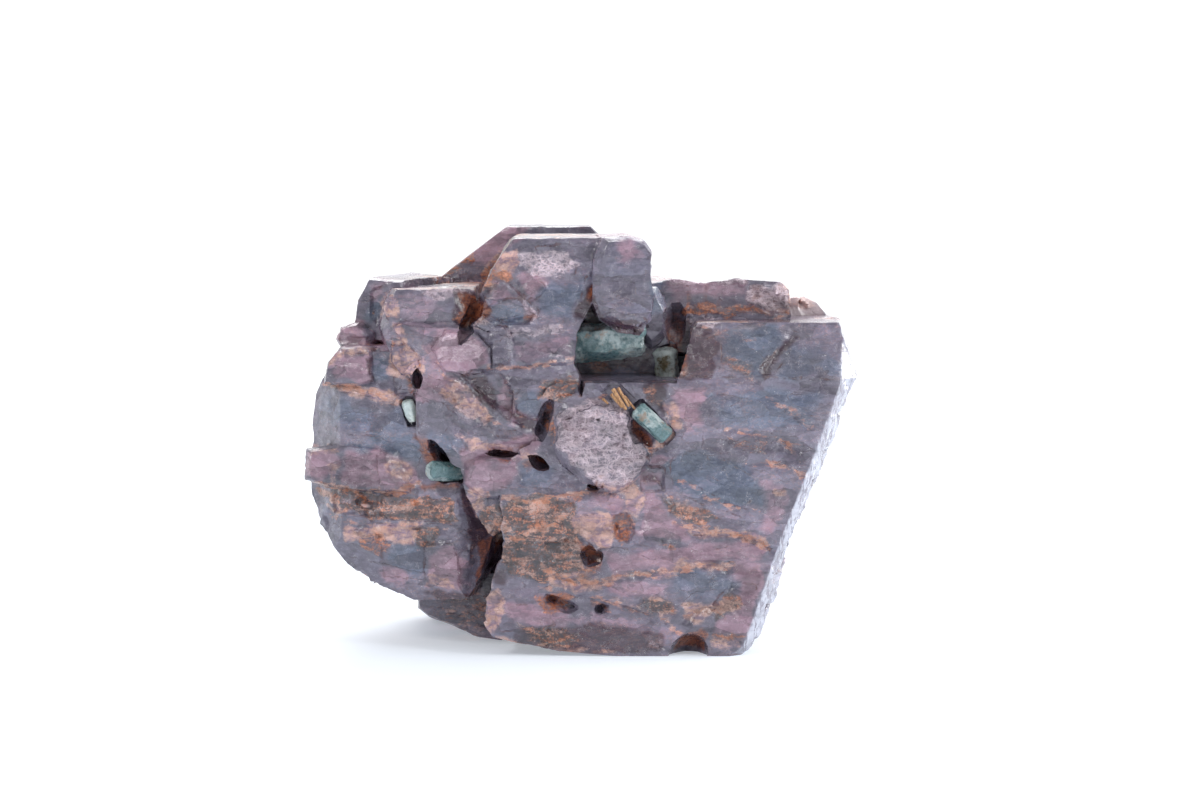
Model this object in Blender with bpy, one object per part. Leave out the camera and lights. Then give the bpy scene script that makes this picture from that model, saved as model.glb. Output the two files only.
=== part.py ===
"""A cluster of purple-grey spinel crystals, with small apatite crystals set in its hollows.

Metres, +Z up. The origin lies on the surface that the cluster rests on, under the middle of its box.
The broad crystal face looks towards -Y. Outlines below are in millimetres, as (x, z) seen from the front.
"""

import math
import random

import bmesh
import bpy
from mathutils import Matrix, Vector

MM = 0.001
SEED = 11
SOCKET_GAP = 0.3
FLOOR = 0.0
MERGE = 0.0001 * MM

SPINEL_COLOUR = (0.235, 0.185, 0.225, 1.0)
APATITE_COLOUR = (0.17, 0.33, 0.31, 1.0)
CHIP_COLOUR = (0.62, 0.70, 0.62, 1.0)
OLIVE_COLOUR = (0.36, 0.34, 0.17, 1.0)
MICA_COLOUR = (0.62, 0.36, 0.17, 1.0)
SPINEL_ROUGHNESS = 0.45
APATITE_ROUGHNESS = 0.25
MICA_ROUGHNESS = 0.4

UP = (0.0, 0.0, 1.0)
DOWN = (0.0, 0.0, -1.0)

# Each crystal is an outline carried back through stations: (depth y, scale, shift x, shift z).
# Its turn is (about x, about z) in degrees: a negative first value looks up, a negative second looks left.
# Each trim is a flat face: a point on it and the way it looks.
CRYSTALS = {
    "main": {
        "outline": [
            (-2.0, 28.1), (10.0, 28.0), (26.1, 28.0), (16.1, 0.6), (15.2, -0.1), (6.0, -0.2),
            (-2.0, 0.5), (-8.8, 1.8), (-9.8, 3.4), (-9.6, 7.6), (-8.0, 9.8), (-7.6, 14.0),
            (-8.4, 17.6), (-6.4, 20.4), (-3.4, 22.6), (-4.2, 26.0),
        ],
        "stations": [
            (-17.0, 1.0, 0.0, 0.0), (-15.9, 1.005, 0.8, 0.0), (-13.6, 1.01, 0.9, 0.0),
            (-13.5, 1.015, 1.0, 0.0), (-8.0, 1.02, 1.1, 0.0), (4.0, 0.98, 0.4, 0.0),
            (12.0, 0.72, 0.0, 1.0),
        ],
        "trims": [
            ((27.8, 0.0, 29.6), (0.94, 0.0, 0.34)), ((0.0, 0.0, 28.4), (0.0, -0.05, 1.0)),
            ((-9.8, -17.0, 4.0), (-0.6, -0.76, 0.1)), ((16.0, -17.0, 0.8), (0.5, -0.6, -0.6)),
        ],
    },
    "upper_right": {
        "outline": [
            (9.6, 24.0), (9.8, 32.6), (11.0, 34.0), (24.2, 34.0), (24.8, 31.8), (26.1, 28.0), (23.8, 24.0),
        ],
        "stations": [
            (-17.0, 1.0, 0.0, 0.0), (-14.9, 1.03, 1.5, 0.0), (-9.0, 1.05, 1.8, 0.0), (1.0, 1.0, 1.0, 0.0),
            (8.0, 0.8, 0.0, 0.0),
        ],
        "trims": [
            ((0.0, -17.0, 27.9), (0.0, -0.9, 0.44)), ((0.0, 0.0, 33.5), UP),
            ((10.6, -15.5, 33.0), (-0.6, -0.7, 0.4)),
        ],
    },
    "peak": {
        "outline": [
            (-11.4, 28.8), (-11.2, 32.0), (-10.2, 35.6), (-8.4, 39.4), (-7.0, 41.6), (-6.0, 42.6),
            (2.6, 42.6), (3.0, 39.6), (2.0, 37.6), (0.8, 34.6), (-0.3, 32.6), (-0.6, 29.7), (-5.0, 29.2),
        ],
        "stations": [
            (-15.9, 1.0, 0.0, 0.0), (-12.0, 1.03, 0.0, 0.0), (-4.0, 1.0, 0.0, 0.0), (6.0, 0.7, 0.0, -1.0),
        ],
        "turn": (-2.0, 0.0),
        "trims": [
            ((0.0, 0.0, 42.0), UP), ((-8.4, -15.9, 39.6), (-0.62, -0.6, 0.5)),
            ((-8.6, -15.8, 31.8), (-0.32, -0.9, -0.26)), ((-2.5, -15.6, 34.0), (0.1, -0.99, 0.08)),
        ],
    },
    "knob": {
        "outline": [
            (1.6, 39.8), (2.3, 42.1), (5.0, 42.3), (6.4, 41.9), (7.2, 40.9), (7.2, 37.8),
            (7.6, 36.4), (7.2, 34.0), (6.0, 32.2), (3.8, 32.5), (2.0, 33.8), (1.3, 35.8),
        ],
        "stations": [
            (-16.7, 0.86, 0.2, 0.2), (-16.0, 1.0, 0.0, 0.0), (-9.0, 1.0, 0.0, 0.4), (0.0, 0.8, -1.0, 1.0),
        ],
        "turn": (-3.0, 5.0),
        "trims": [((2.6, -16.6, 34.6), (-0.45, -0.8, -0.4))],
    },
    "shoulder": {
        "outline": [
            (-19.6, 35.0), (-18.2, 37.2), (-11.0, 37.2), (-10.4, 35.0), (-10.6, 32.0), (-10.0, 27.0),
            (-17.0, 27.0), (-19.4, 31.0), (-20.0, 33.0),
        ],
        "stations": [
            (-14.6, 1.0, 0.0, 0.0), (-12.0, 1.06, -0.5, 0.0), (-4.0, 1.05, -1.0, 0.3), (5.0, 0.8, 0.0, 0.0),
        ],
        "turn": (2.0, -5.0),
        "trims": [
            ((0.0, 0.0, 36.8), UP), ((-19.0, -14.4, 34.0), (-0.74, -0.66, 0.1)),
            ((-11.6, -14.6, 34.6), (0.5, -0.8, 0.3)),
        ],
    },
    "shoulder_side": {
        "outline": [
            (-21.6, 37.8), (-18.0, 37.5), (-17.0, 31.0), (-21.6, 31.4), (-23.2, 33.0), (-22.9, 35.6),
        ],
        "stations": [
            (-10.4, 0.94, 0.0, 0.0), (-9.6, 1.0, 0.0, 0.0), (0.0, 1.0, 1.0, 0.0), (6.0, 0.7, 3.0, 0.0),
        ],
        "turn": (0.0, -16.0),
    },
    "apron": {
        "outline": [
            (-19.4, 32.4), (-18.0, 33.4), (-11.0, 33.4), (-1.0, 30.0), (0.4, 27.0), (-2.0, 23.6),
            (-3.2, 21.2), (-6.0, 20.4), (-4.6, 17.5), (-4.0, 14.0), (-8.0, 12.5), (-9.0, 11.9),
            (-10.0, 13.6), (-11.6, 16.0), (-12.0, 18.8), (-15.4, 20.4), (-16.6, 21.8), (-16.7, 26.0),
            (-17.8, 28.6),
        ],
        "stations": [(-16.0, 0.96, 0.0, 0.0), (-15.2, 1.0, 0.0, 0.0), (-5.0, 0.95, 0.0, 0.0)],
        "turn": (0.0, -4.0),
        "trims": [
            ((-14.6, -15.2, 24.0), (-0.34, -0.93, -0.1)), ((-1.6, -16.4, 27.0), (0.3, -0.94, 0.16)),
        ],
    },
    "broken_plate": {
        "outline": [
            (-14.9, 31.0), (-13.5, 32.8), (-10.5, 32.7), (-8.9, 31.0), (-8.8, 28.6), (-10.5, 28.2),
            (-13.8, 28.6),
        ],
        "stations": [(-16.5, 0.9, 0.0, 0.0), (-16.0, 1.0, 0.0, 0.0), (-8.0, 0.9, 0.0, 0.0)],
        "turn": (-2.0, 3.0),
    },
    "rosy_plate": {
        "outline": [
            (-19.2, 31.4), (-17.4, 31.6), (-16.2, 30.4), (-15.9, 28.8), (-16.6, 27.8), (-18.2, 28.2),
            (-19.2, 29.6),
        ],
        "stations": [(-15.3, 0.8, 0.0, 0.0), (-14.6, 1.0, 0.0, 0.0), (-8.0, 0.9, 0.0, 0.0)],
        "turn": (-5.0, -10.0),
    },
    "lap": {
        "outline": [
            (-11.6, 19.4), (-8.8, 20.2), (-6.0, 19.4), (-5.2, 17.6), (-7.4, 16.0), (-10.2, 15.8),
            (-11.8, 17.2),
        ],
        "stations": [(-16.8, 0.8, 0.0, 0.0), (-16.2, 1.0, 0.0, 0.0), (-8.0, 0.9, 0.0, 0.0)],
        "turn": (6.0, -8.0),
    },
    "pale_lump": {
        "outline": [
            (-2.4, 24.2), (-0.5, 25.4), (2.0, 25.7), (4.5, 25.2), (5.4, 23.9), (6.0, 21.7), (6.9, 20.2),
            (6.5, 18.7), (5.5, 17.7), (3.5, 16.9), (2.0, 17.5), (0.5, 17.9), (-1.0, 19.2), (-2.2, 20.2),
            (-2.8, 21.7),
        ],
        "stations": [
            (-18.1, 0.6, 0.3, -0.2), (-17.9, 0.84, 0.0, 0.0), (-17.2, 1.0, 0.0, 0.0), (-12.0, 0.9, 0.0, 0.0),
        ],
        "turn": (-3.0, 3.0),
    },
    "left": {
        "outline": [
            (-23.6, 31.0), (-25.6, 29.4), (-27.5, 26.0), (-28.1, 22.6), (-27.9, 21.0), (-28.3, 20.0),
            (-28.5, 17.4), (-28.3, 15.4), (-27.1, 13.0), (-24.0, 8.5), (-20.8, 6.4), (-17.3, 4.8),
            (-11.4, 5.3),
            (-9.8, 8.8), (-9.2, 11.8), (-10.6, 16.0), (-14.0, 19.0), (-16.0, 22.0), (-16.8, 27.0),
            (-18.6, 31.0),
        ],
        "stations": [
            (-13.4, 0.96, 0.0, 0.0), (-12.4, 1.0, 0.0, 0.0), (-8.0, 1.0, 0.0, 0.0), (0.0, 0.95, 1.0, 0.5),
            (9.0, 0.7, 3.0, 1.0),
        ],
        "turn": (0.0, -8.0),
        "trims": [
            ((-11.6, -14.0, 12.0), (0.5, -0.86, 0.0)), ((-19.0, -13.6, 9.6), (-0.3, -0.84, -0.45)),
            ((-25.8, -10.8, 24.0), (-0.8, -0.6, 0.0)),
        ],
    },
    "rose_plate": {
        "outline": [
            (-28.2, 20.6), (-23.6, 21.2), (-19.0, 20.6), (-16.8, 19.0), (-15.6, 17.4), (-16.6, 16.3),
            (-22.0, 16.2), (-26.2, 16.5), (-28.6, 17.4),
        ],
        "stations": [(-13.9, 0.86, 0.0, 0.0), (-13.0, 1.0, 0.0, 0.0), (0.0, 0.8, 2.0, 0.0)],
        "turn": (-3.0, -12.0),
        "trims": [((-19.4, -14.4, 18.6), (0.3, -0.93, 0.2))],
    },
    "left_knob": {
        "outline": [
            (-24.7, 32.8), (-22.6, 33.3), (-21.2, 32.2), (-21.4, 30.2), (-24.4, 30.0), (-25.2, 31.5),
        ],
        "stations": [(-11.2, 0.8, 0.0, 0.0), (-10.4, 1.0, 0.0, 0.0), (0.0, 0.9, 1.0, 0.0)],
        "turn": (0.0, -14.0),
    },
    "left_tile": {
        "outline": [
            (-25.9, 29.4), (-24.5, 31.0), (-22.4, 31.2), (-20.9, 31.0), (-20.8, 27.4), (-22.5, 27.0),
            (-26.3, 27.2),
        ],
        "stations": [(-13.6, 0.84, 0.0, 0.0), (-12.6, 1.0, 0.0, 0.0), (-2.0, 0.9, 1.0, 0.0)],
        "turn": (-4.0, -12.0),
    },
    "slate_tile": {
        "outline": [(-20.9, 30.6), (-18.9, 30.6), (-18.7, 27.6), (-20.9, 27.8)],
        "stations": [(-13.4, 0.9, 0.0, 0.0), (-13.0, 1.0, 0.0, 0.0), (-2.0, 0.9, 1.0, 0.0)],
        "turn": (-6.0, 4.0),
    },
    "foot": {
        "outline": [
            (-17.0, 4.6), (-17.0, 3.4), (-16.0, 2.6), (-13.0, 1.4), (-10.6, 0.2), (-8.0, -0.2),
            (-8.0, 7.0), (-12.0, 8.0), (-16.5, 6.4),
        ],
        "stations": [
            (-7.0, 0.94, 0.0, 0.0), (-6.0, 1.0, 0.0, 0.0), (8.0, 1.05, 0.0, -2.5), (12.0, 0.7, 1.0, -1.0),
        ],
    },
    "rear_peak": {
        "outline": [
            (-16.2, 36.2), (-8.7, 41.9), (-7.2, 43.0), (0.6, 43.0), (2.1, 41.6), (6.0, 34.0), (2.0, 24.0),
            (-14.0, 26.0),
        ],
        "stations": [(1.0, 1.0, 0.0, 0.0), (6.0, 0.98, 0.0, 0.0), (11.0, 0.7, 0.0, -1.0)],
        "trims": [((0.0, 0.0, 42.6), UP), ((-9.0, 1.0, 41.8), (-0.3, -0.8, 0.5))],
    },
    "rear_ledge": {
        "outline": [
            (5.0, 36.8), (7.7, 37.2), (9.4, 37.6), (12.6, 37.2), (15.9, 37.6), (20.4, 37.3), (21.4, 36.4),
            (21.6, 30.0), (5.0, 30.0),
        ],
        "stations": [
            (-8.8, 1.0, 0.0, 0.0), (-4.0, 1.02, 0.0, 0.0), (4.0, 0.9, 0.0, 0.0), (10.0, 0.6, 0.0, -2.0),
        ],
        "turn": (-4.0, 2.0),
    },
    "rear_step": {
        "outline": [
            (21.0, 35.6), (23.2, 35.8), (24.8, 35.1), (25.8, 33.9), (26.0, 32.0), (22.0, 30.0), (20.0, 31.0),
        ],
        "stations": [(-3.0, 0.84, 0.0, 0.0), (-1.6, 1.0, 0.0, 0.0), (6.0, 0.8, 0.0, 0.0)],
        "turn": (-10.0, 12.0),
    },
    "hollow_wall": {
        "outline": [(-2.0, 37.0), (8.6, 36.0), (9.6, 26.0), (-2.0, 26.0)],
        "stations": [(-9.4, 1.0, 0.0, 0.0), (6.0, 0.9, 0.0, 0.0)],
        "turn": (6.0, -6.0),
    },
    "hollow_flank": {
        "outline": [(6.0, 37.0), (8.2, 36.9), (9.4, 34.6), (9.2, 32.0), (7.6, 30.4), (5.5, 33.0)],
        "stations": [(-12.4, 0.7, -0.4, 0.0), (-10.8, 1.0, 0.0, 0.0), (0.0, 1.0, 0.0, 0.0)],
        "turn": (0.0, 10.0),
    },
}

# The way each of the eight faces of an octahedron looks, with one pair of faces square to y.
LATTICE = {
    "front": (0.0, -1.0, 0.0), "back": (0.0, 1.0, 0.0),
    "crown": (0.0, -0.333, 0.943), "keel": (0.0, 0.333, -0.943),
    "right_low": (0.816, -0.333, -0.471), "left_high": (-0.816, 0.333, 0.471),
    "left_low": (-0.816, -0.333, -0.471), "right_high": (0.816, 0.333, 0.471),
}

# The way each pair of an octahedron's corners points. A corner is cut blunt at this share of the face distance.
CORNERS = ((0.707, -0.577, 0.408), (-0.707, -0.577, 0.408), (0.0, -0.577, -0.816))
BLUNT = (1.15, 1.4)
BLOCK_SHARE = 6.0

# The octahedra that make up the back, grown parallel to each other: (centre, how far each face lies from it).
REAR_CRYSTALS = {
    "rear_core": ((3.0, 4.0, 15.0), 12.4),
    "rear_crown": ((-4.0, 2.0, 26.0), 10.6),
    "rear_left": ((-13.5, 0.0, 16.0), 9.6),
    "rear_right": ((13.0, 2.0, 24.0), 8.0),
    "rear_toe": ((6.0, 7.0, 7.0), 9.4),
    "rear_heel": ((-12.0, 7.0, 8.5), 6.4),
    "rear_spur": ((7.0, 5.0, 29.0), 5.4),
    "rear_bud": ((-7.0, 12.0, 19.0), 4.2),
}
STEPPED_FACES = ("back", "left_high", "right_high")
STEP_COUNT = 2
STEP_RISE = (0.35, 0.8)
STEP_INSET = (0.9, 2.6)
FACE_SPREAD = (0.93, 1.05)
LATTICE_LEAN = 1.5
SMALLEST_EDGE = 0.004

# Growth steps down the right side of the main crystal: (low z, high z, how far out, front y, back y).
SIDE_STEPS = [
    (1.2, 4.8, 1.45, -15.6, 3.0), (4.6, 8.4, 1.7, -15.2, -1.0), (8.2, 13.2, 1.2, -12.5, 4.0),
    (13.0, 17.6, 1.35, -15.2, 0.0), (17.4, 20.6, 1.5, -15.7, 2.0), (20.4, 24.2, 1.7, -14.8, 1.0),
    (24.0, 27.2, 1.5, -15.4, -4.0), (3.0, 9.0, 2.1, -9.0, 0.5), (16.0, 22.0, 2.0, -10.0, -3.0),
]
SIDE_FOOT = (16.2, 0.6)
SIDE_SLOPE = 0.365
SIDE_DEPTH = 5.0

# The slanting ends of a growth step: (their height in millimetres, the share of its thickness left at the tip).
SIDE_LOW_END = (0.5, 0.5)
SIDE_HIGH_END = (0.3, 0.6)
SIDE_FRONT_SLANT = 1.4
SIDE_TIP_SCALE = 0.97
SIDE_TIP_SHIFT = -0.9

# Hollows and pits, as (centre, radii, turn about y in degrees), in millimetres.
HOLLOWS = {
    "slot": ((-7.8, -16.0, 20.5), (1.9, 2.6, 0.6), 4.0),
    "slot_corner": ((-4.2, -16.4, 19.6), (1.4, 2.6, 0.7), 35.0),
    "round_pit": ((1.2, -17.2, 10.1), (1.4, 2.2, 1.2), 10.0),
    "rust_pit": ((-1.9, -17.2, 5.3), (2.0, 1.7, 0.8), 20.0),
    "rust_pit_low": ((2.1, -17.2, 4.8), (0.8, 1.7, 0.6), -30.0),
    "lump_pit": ((1.3, -17.6, 17.2), (0.8, 2.4, 0.5), 0.0),
    "arch": ((10.8, -17.6, 0.4), (1.9, 4.0, 2.4), 20.0),
    "rust_crease": ((-3.6, -17.0, 23.8), (0.8, 2.6, 2.4), 14.0),
    "scoop": ((0.2, -18.6, 26.6), (3.6, 2.6, 2.2), -10.0),
    "scoop_notch": ((0.1, -16.8, 27.4), (0.4, 2.4, 1.4), 0.0),
    "left_crack": ((-14.2, -14.6, 20.2), (0.7, 2.6, 1.9), -40.0),
    "chip_crack": ((-16.4, -14.6, 27.9), (0.5, 2.0, 1.2), 0.0),
    "left_pit": ((-22.4, -14.0, 15.2), (0.7, 1.6, 0.5), 30.0),
    "valley": ((-10.9, -15.6, 34.2), (1.0, 3.2, 3.0), 24.0),
    "lower_crack": ((-9.2, -15.0, 8.4), (1.0, 3.6, 3.6), 12.0),
    "prism_bed": ((6.0, -17.6, 22.6), (1.2, 2.4, 1.9), -44.0),
    "ledge_recess": ((9.6, -10.6, 33.2), (1.5, 3.4, 2.3), 10.0),
}

# How far a pit's facets are pushed out or in, as shares of its radii.
PIT_SPREAD = (0.82, 1.15)

# The apatite crystals are six-sided prisms: (start, end, radius, colour), in millimetres.
APATITES = {
    "apatite_large": ((-1.2, -11.2, 31.2), (5.6, -11.5, 31.8), 1.8, APATITE_COLOUR),
    "apatite_prism": ((5.7, -17.2, 25.0), (8.7, -17.6, 22.2), 1.05, APATITE_COLOUR),
    "apatite_small": ((-15.0, -15.3, 18.6), (-12.3, -13.2, 18.2), 1.0, APATITE_COLOUR),
    "apatite_chip": ((-17.4, -13.9, 25.4), (-16.9, -13.4, 23.5), 0.66, CHIP_COLOUR),
    "apatite_olive": ((8.6, -10.9, 30.2), (8.8, -10.3, 27.4), 1.25, OLIVE_COLOUR),
}
PRISM_SIDES = 6
TIP_INSET = 0.3
TIP_RISE = 0.25

# Splinters of brown mica, as (start, end), in millimetres.
SPLINTERS = [
    ((2.7, -16.9, 26.7), (4.1, -17.3, 25.1)),
    ((3.0, -16.9, 27.1), (4.7, -17.3, 25.4)),
    ((3.3, -16.9, 27.5), (5.1, -17.3, 25.9)),
]
SPLINTER_RADIUS = 0.32


def fresh_scene():
    for leftover in list(bpy.data.objects):
        bpy.data.objects.remove(leftover, do_unlink=True)


def to_object(name, shape):
    """An object at the origin that holds this bmesh."""
    mesh = bpy.data.meshes.new(name)
    shape.to_mesh(mesh)
    shape.free()
    made = bpy.data.objects.new(name, mesh)
    bpy.context.scene.collection.objects.link(made)
    return made


def trim(shape, point, looking):
    """Cuts off what lies beyond a flat face and closes the cut."""
    parts = shape.verts[:] + shape.edges[:] + shape.faces[:]
    cut = bmesh.ops.bisect_plane(
        shape, geom=parts, dist=MERGE, plane_co=Vector(point) * MM, plane_no=Vector(looking), clear_outer=True
    )
    rim = [item for item in cut["geom_cut"] if isinstance(item, bmesh.types.BMEdge)]
    if rim:
        bmesh.ops.edgenet_fill(shape, edges=rim)


def crystal(name, outline, stations, trims=(), turn=(0.0, 0.0)):
    """A faceted crystal: its outline scaled about its middle at each station, with flat faces between."""
    middle = sum((Vector((x, 0.0, z)) for x, z in outline), Vector()) / len(outline)
    front = middle + Vector((0.0, stations[0][0], 0.0))
    leaning = Matrix.Rotation(math.radians(turn[0]), 3, "X") @ Matrix.Rotation(math.radians(turn[1]), 3, "Z")
    shape = bmesh.new()
    ring_before = None
    for depth, scale, shift_x, shift_z in stations:
        ring = []
        for x, z in outline:
            place = middle + (Vector((x, 0.0, z)) - middle) * scale + Vector((shift_x, depth, shift_z))
            ring.append(shape.verts.new((front + leaning @ (place - front)) * MM))
        if ring_before is None:
            shape.faces.new(ring)
        else:
            for here in range(len(ring)):
                after = (here + 1) % len(ring)
                shape.faces.new((ring_before[here], ring_before[after], ring[after], ring[here]))
        ring_before = ring
    shape.faces.new(ring_before)
    bmesh.ops.recalc_face_normals(shape, faces=shape.faces)
    for point, looking in (*trims, ((0.0, 0.0, FLOOR), DOWN)):
        trim(shape, point, looking)
    bmesh.ops.recalc_face_normals(shape, faces=shape.faces)
    return to_object(name, shape)


def octahedron(name, centre, reach, lean, blunt):
    """A blunt octahedron cut from a block: reach gives how far each of its faces lies from its centre."""
    shape = bmesh.new()
    bmesh.ops.create_cube(shape, size=BLOCK_SHARE * max(reach.values()) * MM)
    bmesh.ops.translate(shape, vec=Vector(centre) * MM, verts=shape.verts)
    for face, looking in LATTICE.items():
        leaning = lean @ Vector(looking)
        trim(shape, Vector(centre) + leaning * reach[face], leaning)
    mean_reach = sum(reach.values()) / len(reach)
    for axis in CORNERS:
        for way in (lean @ Vector(axis), lean @ -Vector(axis)):
            trim(shape, Vector(centre) + way * mean_reach * blunt, way)
    trim(shape, (0.0, 0.0, FLOOR), DOWN)
    bmesh.ops.recalc_face_normals(shape, faces=shape.faces)
    return to_object(name, shape)


def stepped_octahedron(name, centre, distance, dice):
    """An octahedron whose outer faces rise in growth steps, each one smaller than the last."""
    lean = Matrix.Rotation(math.radians(dice.uniform(-LATTICE_LEAN, LATTICE_LEAN)), 3, "Z")
    lean = lean @ Matrix.Rotation(math.radians(dice.uniform(-LATTICE_LEAN, LATTICE_LEAN)), 3, "X")
    base = {face: distance * dice.uniform(*FACE_SPREAD) for face in LATTICE}
    blunt = dice.uniform(*BLUNT)
    grown = [octahedron(name, centre, base, lean, blunt)]
    for face in STEPPED_FACES:
        rise = 0.0
        inset = {other: 0.0 for other in LATTICE}
        for step in range(STEP_COUNT):
            rise += dice.uniform(*STEP_RISE)
            for other in LATTICE:
                inset[other] += dice.uniform(*STEP_INSET)
            reach = {other: base[other] - inset[other] for other in LATTICE}
            reach[face] = base[face] + rise
            grown.append(octahedron(f"{name}_{face}_{step}", centre, reach, lean, blunt))
    return grown


def side_step(name, low, high, out, front, back):
    """A low plate on the sloping right side of the main crystal, with slanting ends."""
    low_rise, low_share = SIDE_LOW_END
    high_rise, high_share = SIDE_HIGH_END
    profile = (
        (low, out * low_share), (low + low_rise, out), (high - high_rise, out), (high, out * high_share),
    )
    outline = [(SIDE_FOOT[0] + (z - SIDE_FOOT[1]) * SIDE_SLOPE + reach, z) for z, reach in profile]
    outline += [(outline[-1][0] - SIDE_DEPTH, high), (outline[0][0] - SIDE_DEPTH, low)]
    tip = (SIDE_TIP_SCALE, SIDE_TIP_SHIFT, 0.0)
    stations = [(front, *tip), (front + SIDE_FRONT_SLANT, 1.0, 0.0, 0.0), (back, *tip)]
    return crystal(name, outline, stations)


def hollow(name, centre, radii, turn, dice):
    """A rough pit cutter: a ball of flat facets, drawn out and dented."""
    shape = bmesh.new()
    bmesh.ops.create_icosphere(shape, subdivisions=2, radius=1.0)
    for corner in shape.verts:
        corner.co *= dice.uniform(*PIT_SPREAD)
    bmesh.ops.scale(shape, vec=Vector(radii) * MM, verts=shape.verts)
    bmesh.ops.rotate(shape, matrix=Matrix.Rotation(math.radians(turn), 3, "Y"), verts=shape.verts)
    bmesh.ops.translate(shape, vec=Vector(centre) * MM, verts=shape.verts)
    return to_object(name, shape)


def prism(name, start, end, radius, grown_by=0.0):
    """A six-sided crystal between two points, with a low pyramid cut off at each end."""
    along = Vector(end) - Vector(start)
    shape = bmesh.new()
    bmesh.ops.create_cone(
        shape, cap_ends=True, segments=PRISM_SIDES, radius1=(radius + grown_by) * MM,
        radius2=(radius + grown_by) * MM,
        depth=(along.length + 2.0 * grown_by) * MM,
    )
    ends = [face for face in shape.faces if len(face.verts) == PRISM_SIDES]
    for end_face in ends:
        bmesh.ops.inset_individual(
            shape, faces=[end_face], thickness=TIP_INSET * radius * MM, depth=TIP_RISE * radius * MM
        )
    bmesh.ops.rotate(shape, matrix=along.to_track_quat("Z", "Y").to_matrix(), verts=shape.verts)
    bmesh.ops.translate(shape, vec=(Vector(start) + Vector(end)) / 2.0 * MM, verts=shape.verts)
    bmesh.ops.recalc_face_normals(shape, faces=shape.faces)
    return to_object(name, shape)


def collected(name, members):
    """Moves objects into a collection of their own, for a Boolean to read."""
    group = bpy.data.collections.new(name)
    bpy.context.scene.collection.children.link(group)
    for member in members:
        bpy.context.scene.collection.objects.unlink(member)
        group.objects.link(member)
        member.hide_render = True
        member.display_type = "WIRE"
    return group


def keep_largest_shell(shape):
    """Fills in sealed hollows and drops crumbs that a cut left loose."""
    unseen = set(shape.verts)
    shells = []
    while unseen:
        edge_of_search = [unseen.pop()]
        shell = []
        while edge_of_search:
            corner = edge_of_search.pop()
            shell.append(corner)
            for edge in corner.link_edges:
                beside = edge.other_vert(corner)
                if beside in unseen:
                    unseen.remove(beside)
                    edge_of_search.append(beside)
        shells.append(shell)
    largest = max(shells, key=len)
    spare = [corner for shell in shells if shell is not largest for corner in shell]
    bmesh.ops.delete(shape, geom=spare, context="VERTS")


def combine(piece, operation, helpers):
    """Joins the helpers to a piece, or cuts them out of it, and keeps the result as its own mesh."""
    step = piece.modifiers.new(operation.title(), "BOOLEAN")
    step.operation = operation
    step.operand_type = "COLLECTION"
    step.collection = collected(operation.lower(), helpers)
    step.solver = "EXACT"
    evaluated = piece.evaluated_get(bpy.context.evaluated_depsgraph_get())
    made = bpy.data.meshes.new_from_object(evaluated)
    piece.modifiers.clear()
    piece.data = made
    for helper in helpers:
        bpy.data.objects.remove(helper, do_unlink=True)
    shape = bmesh.new()
    shape.from_mesh(made)
    bmesh.ops.remove_doubles(shape, verts=shape.verts, dist=SMALLEST_EDGE * MM)
    bmesh.ops.dissolve_degenerate(shape, edges=shape.edges, dist=SMALLEST_EDGE * MM)
    keep_largest_shell(shape)
    shape.to_mesh(made)
    shape.free()


def finish(piece, colour, roughness):
    material = bpy.data.materials.new(piece.name)
    material.use_nodes = True
    surface = material.node_tree.nodes["Principled BSDF"]
    surface.inputs["Base Color"].default_value = colour
    surface.inputs["Roughness"].default_value = roughness
    surface.inputs["Metallic"].default_value = 0.0
    piece.data.materials.append(material)


def apatites():
    """The apatite crystals, and for each one a cutter that leaves it a gap all round."""
    sockets = []
    for name, (start, end, radius, colour) in APATITES.items():
        finish(prism(name, start, end, radius), colour, APATITE_ROUGHNESS)
        sockets.append(prism(f"{name}_socket", start, end, radius, SOCKET_GAP))
    return sockets


def mica_splinters():
    """Three mica splinters grown side by side, and the cutters that make room for them."""
    rods = [prism(f"mica_splinters_{n}", *ends, SPLINTER_RADIUS) for n, ends in enumerate(SPLINTERS)]
    rods[0].name = "mica_splinters"
    combine(rods[0], "UNION", rods[1:])
    finish(rods[0], MICA_COLOUR, MICA_ROUGHNESS)
    return [prism(f"mica_room_{n}", *ends, SPLINTER_RADIUS, SOCKET_GAP) for n, ends in enumerate(SPLINTERS)]


def spinel(dice, sockets):
    mass, *others = [crystal(name, **shape) for name, shape in CRYSTALS.items()]
    mass.name = "spinel"
    combine(mass, "UNION", others + [side_step(f"side_{n}", *step) for n, step in enumerate(SIDE_STEPS)])
    rear = []
    for name, (centre, distance) in REAR_CRYSTALS.items():
        rear += stepped_octahedron(name, centre, distance, dice)
    combine(mass, "UNION", rear)
    combine(mass, "DIFFERENCE", [hollow(name, *place, dice) for name, place in HOLLOWS.items()])
    combine(mass, "DIFFERENCE", sockets)
    finish(mass, SPINEL_COLOUR, SPINEL_ROUGHNESS)


def stand_on_origin():
    """Moves every piece so that the origin lies under the middle of the whole cluster's box."""
    pieces = [piece for piece in bpy.data.objects if piece.type == "MESH"]
    corners = [corner.co for piece in pieces for corner in piece.data.vertices]
    low = Vector(min(corner[axis] for corner in corners) for axis in range(3))
    high = Vector(max(corner[axis] for corner in corners) for axis in range(3))
    middle = Vector(((low.x + high.x) / 2.0, (low.y + high.y) / 2.0, low.z))
    for piece in pieces:
        piece.data.transform(Matrix.Translation(-middle))


def main():
    fresh_scene()
    dice = random.Random(SEED)
    sockets = apatites() + mica_splinters()
    spinel(dice, sockets)
    stand_on_origin()


main()
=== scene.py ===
import math

import bmesh
import bpy
import numpy as np
from bpy.props import FloatProperty, FloatVectorProperty, IntProperty, PointerProperty
from bpy.types import Operator, Panel, PropertyGroup
from mathutils import Euler, Matrix, Vector


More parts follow.
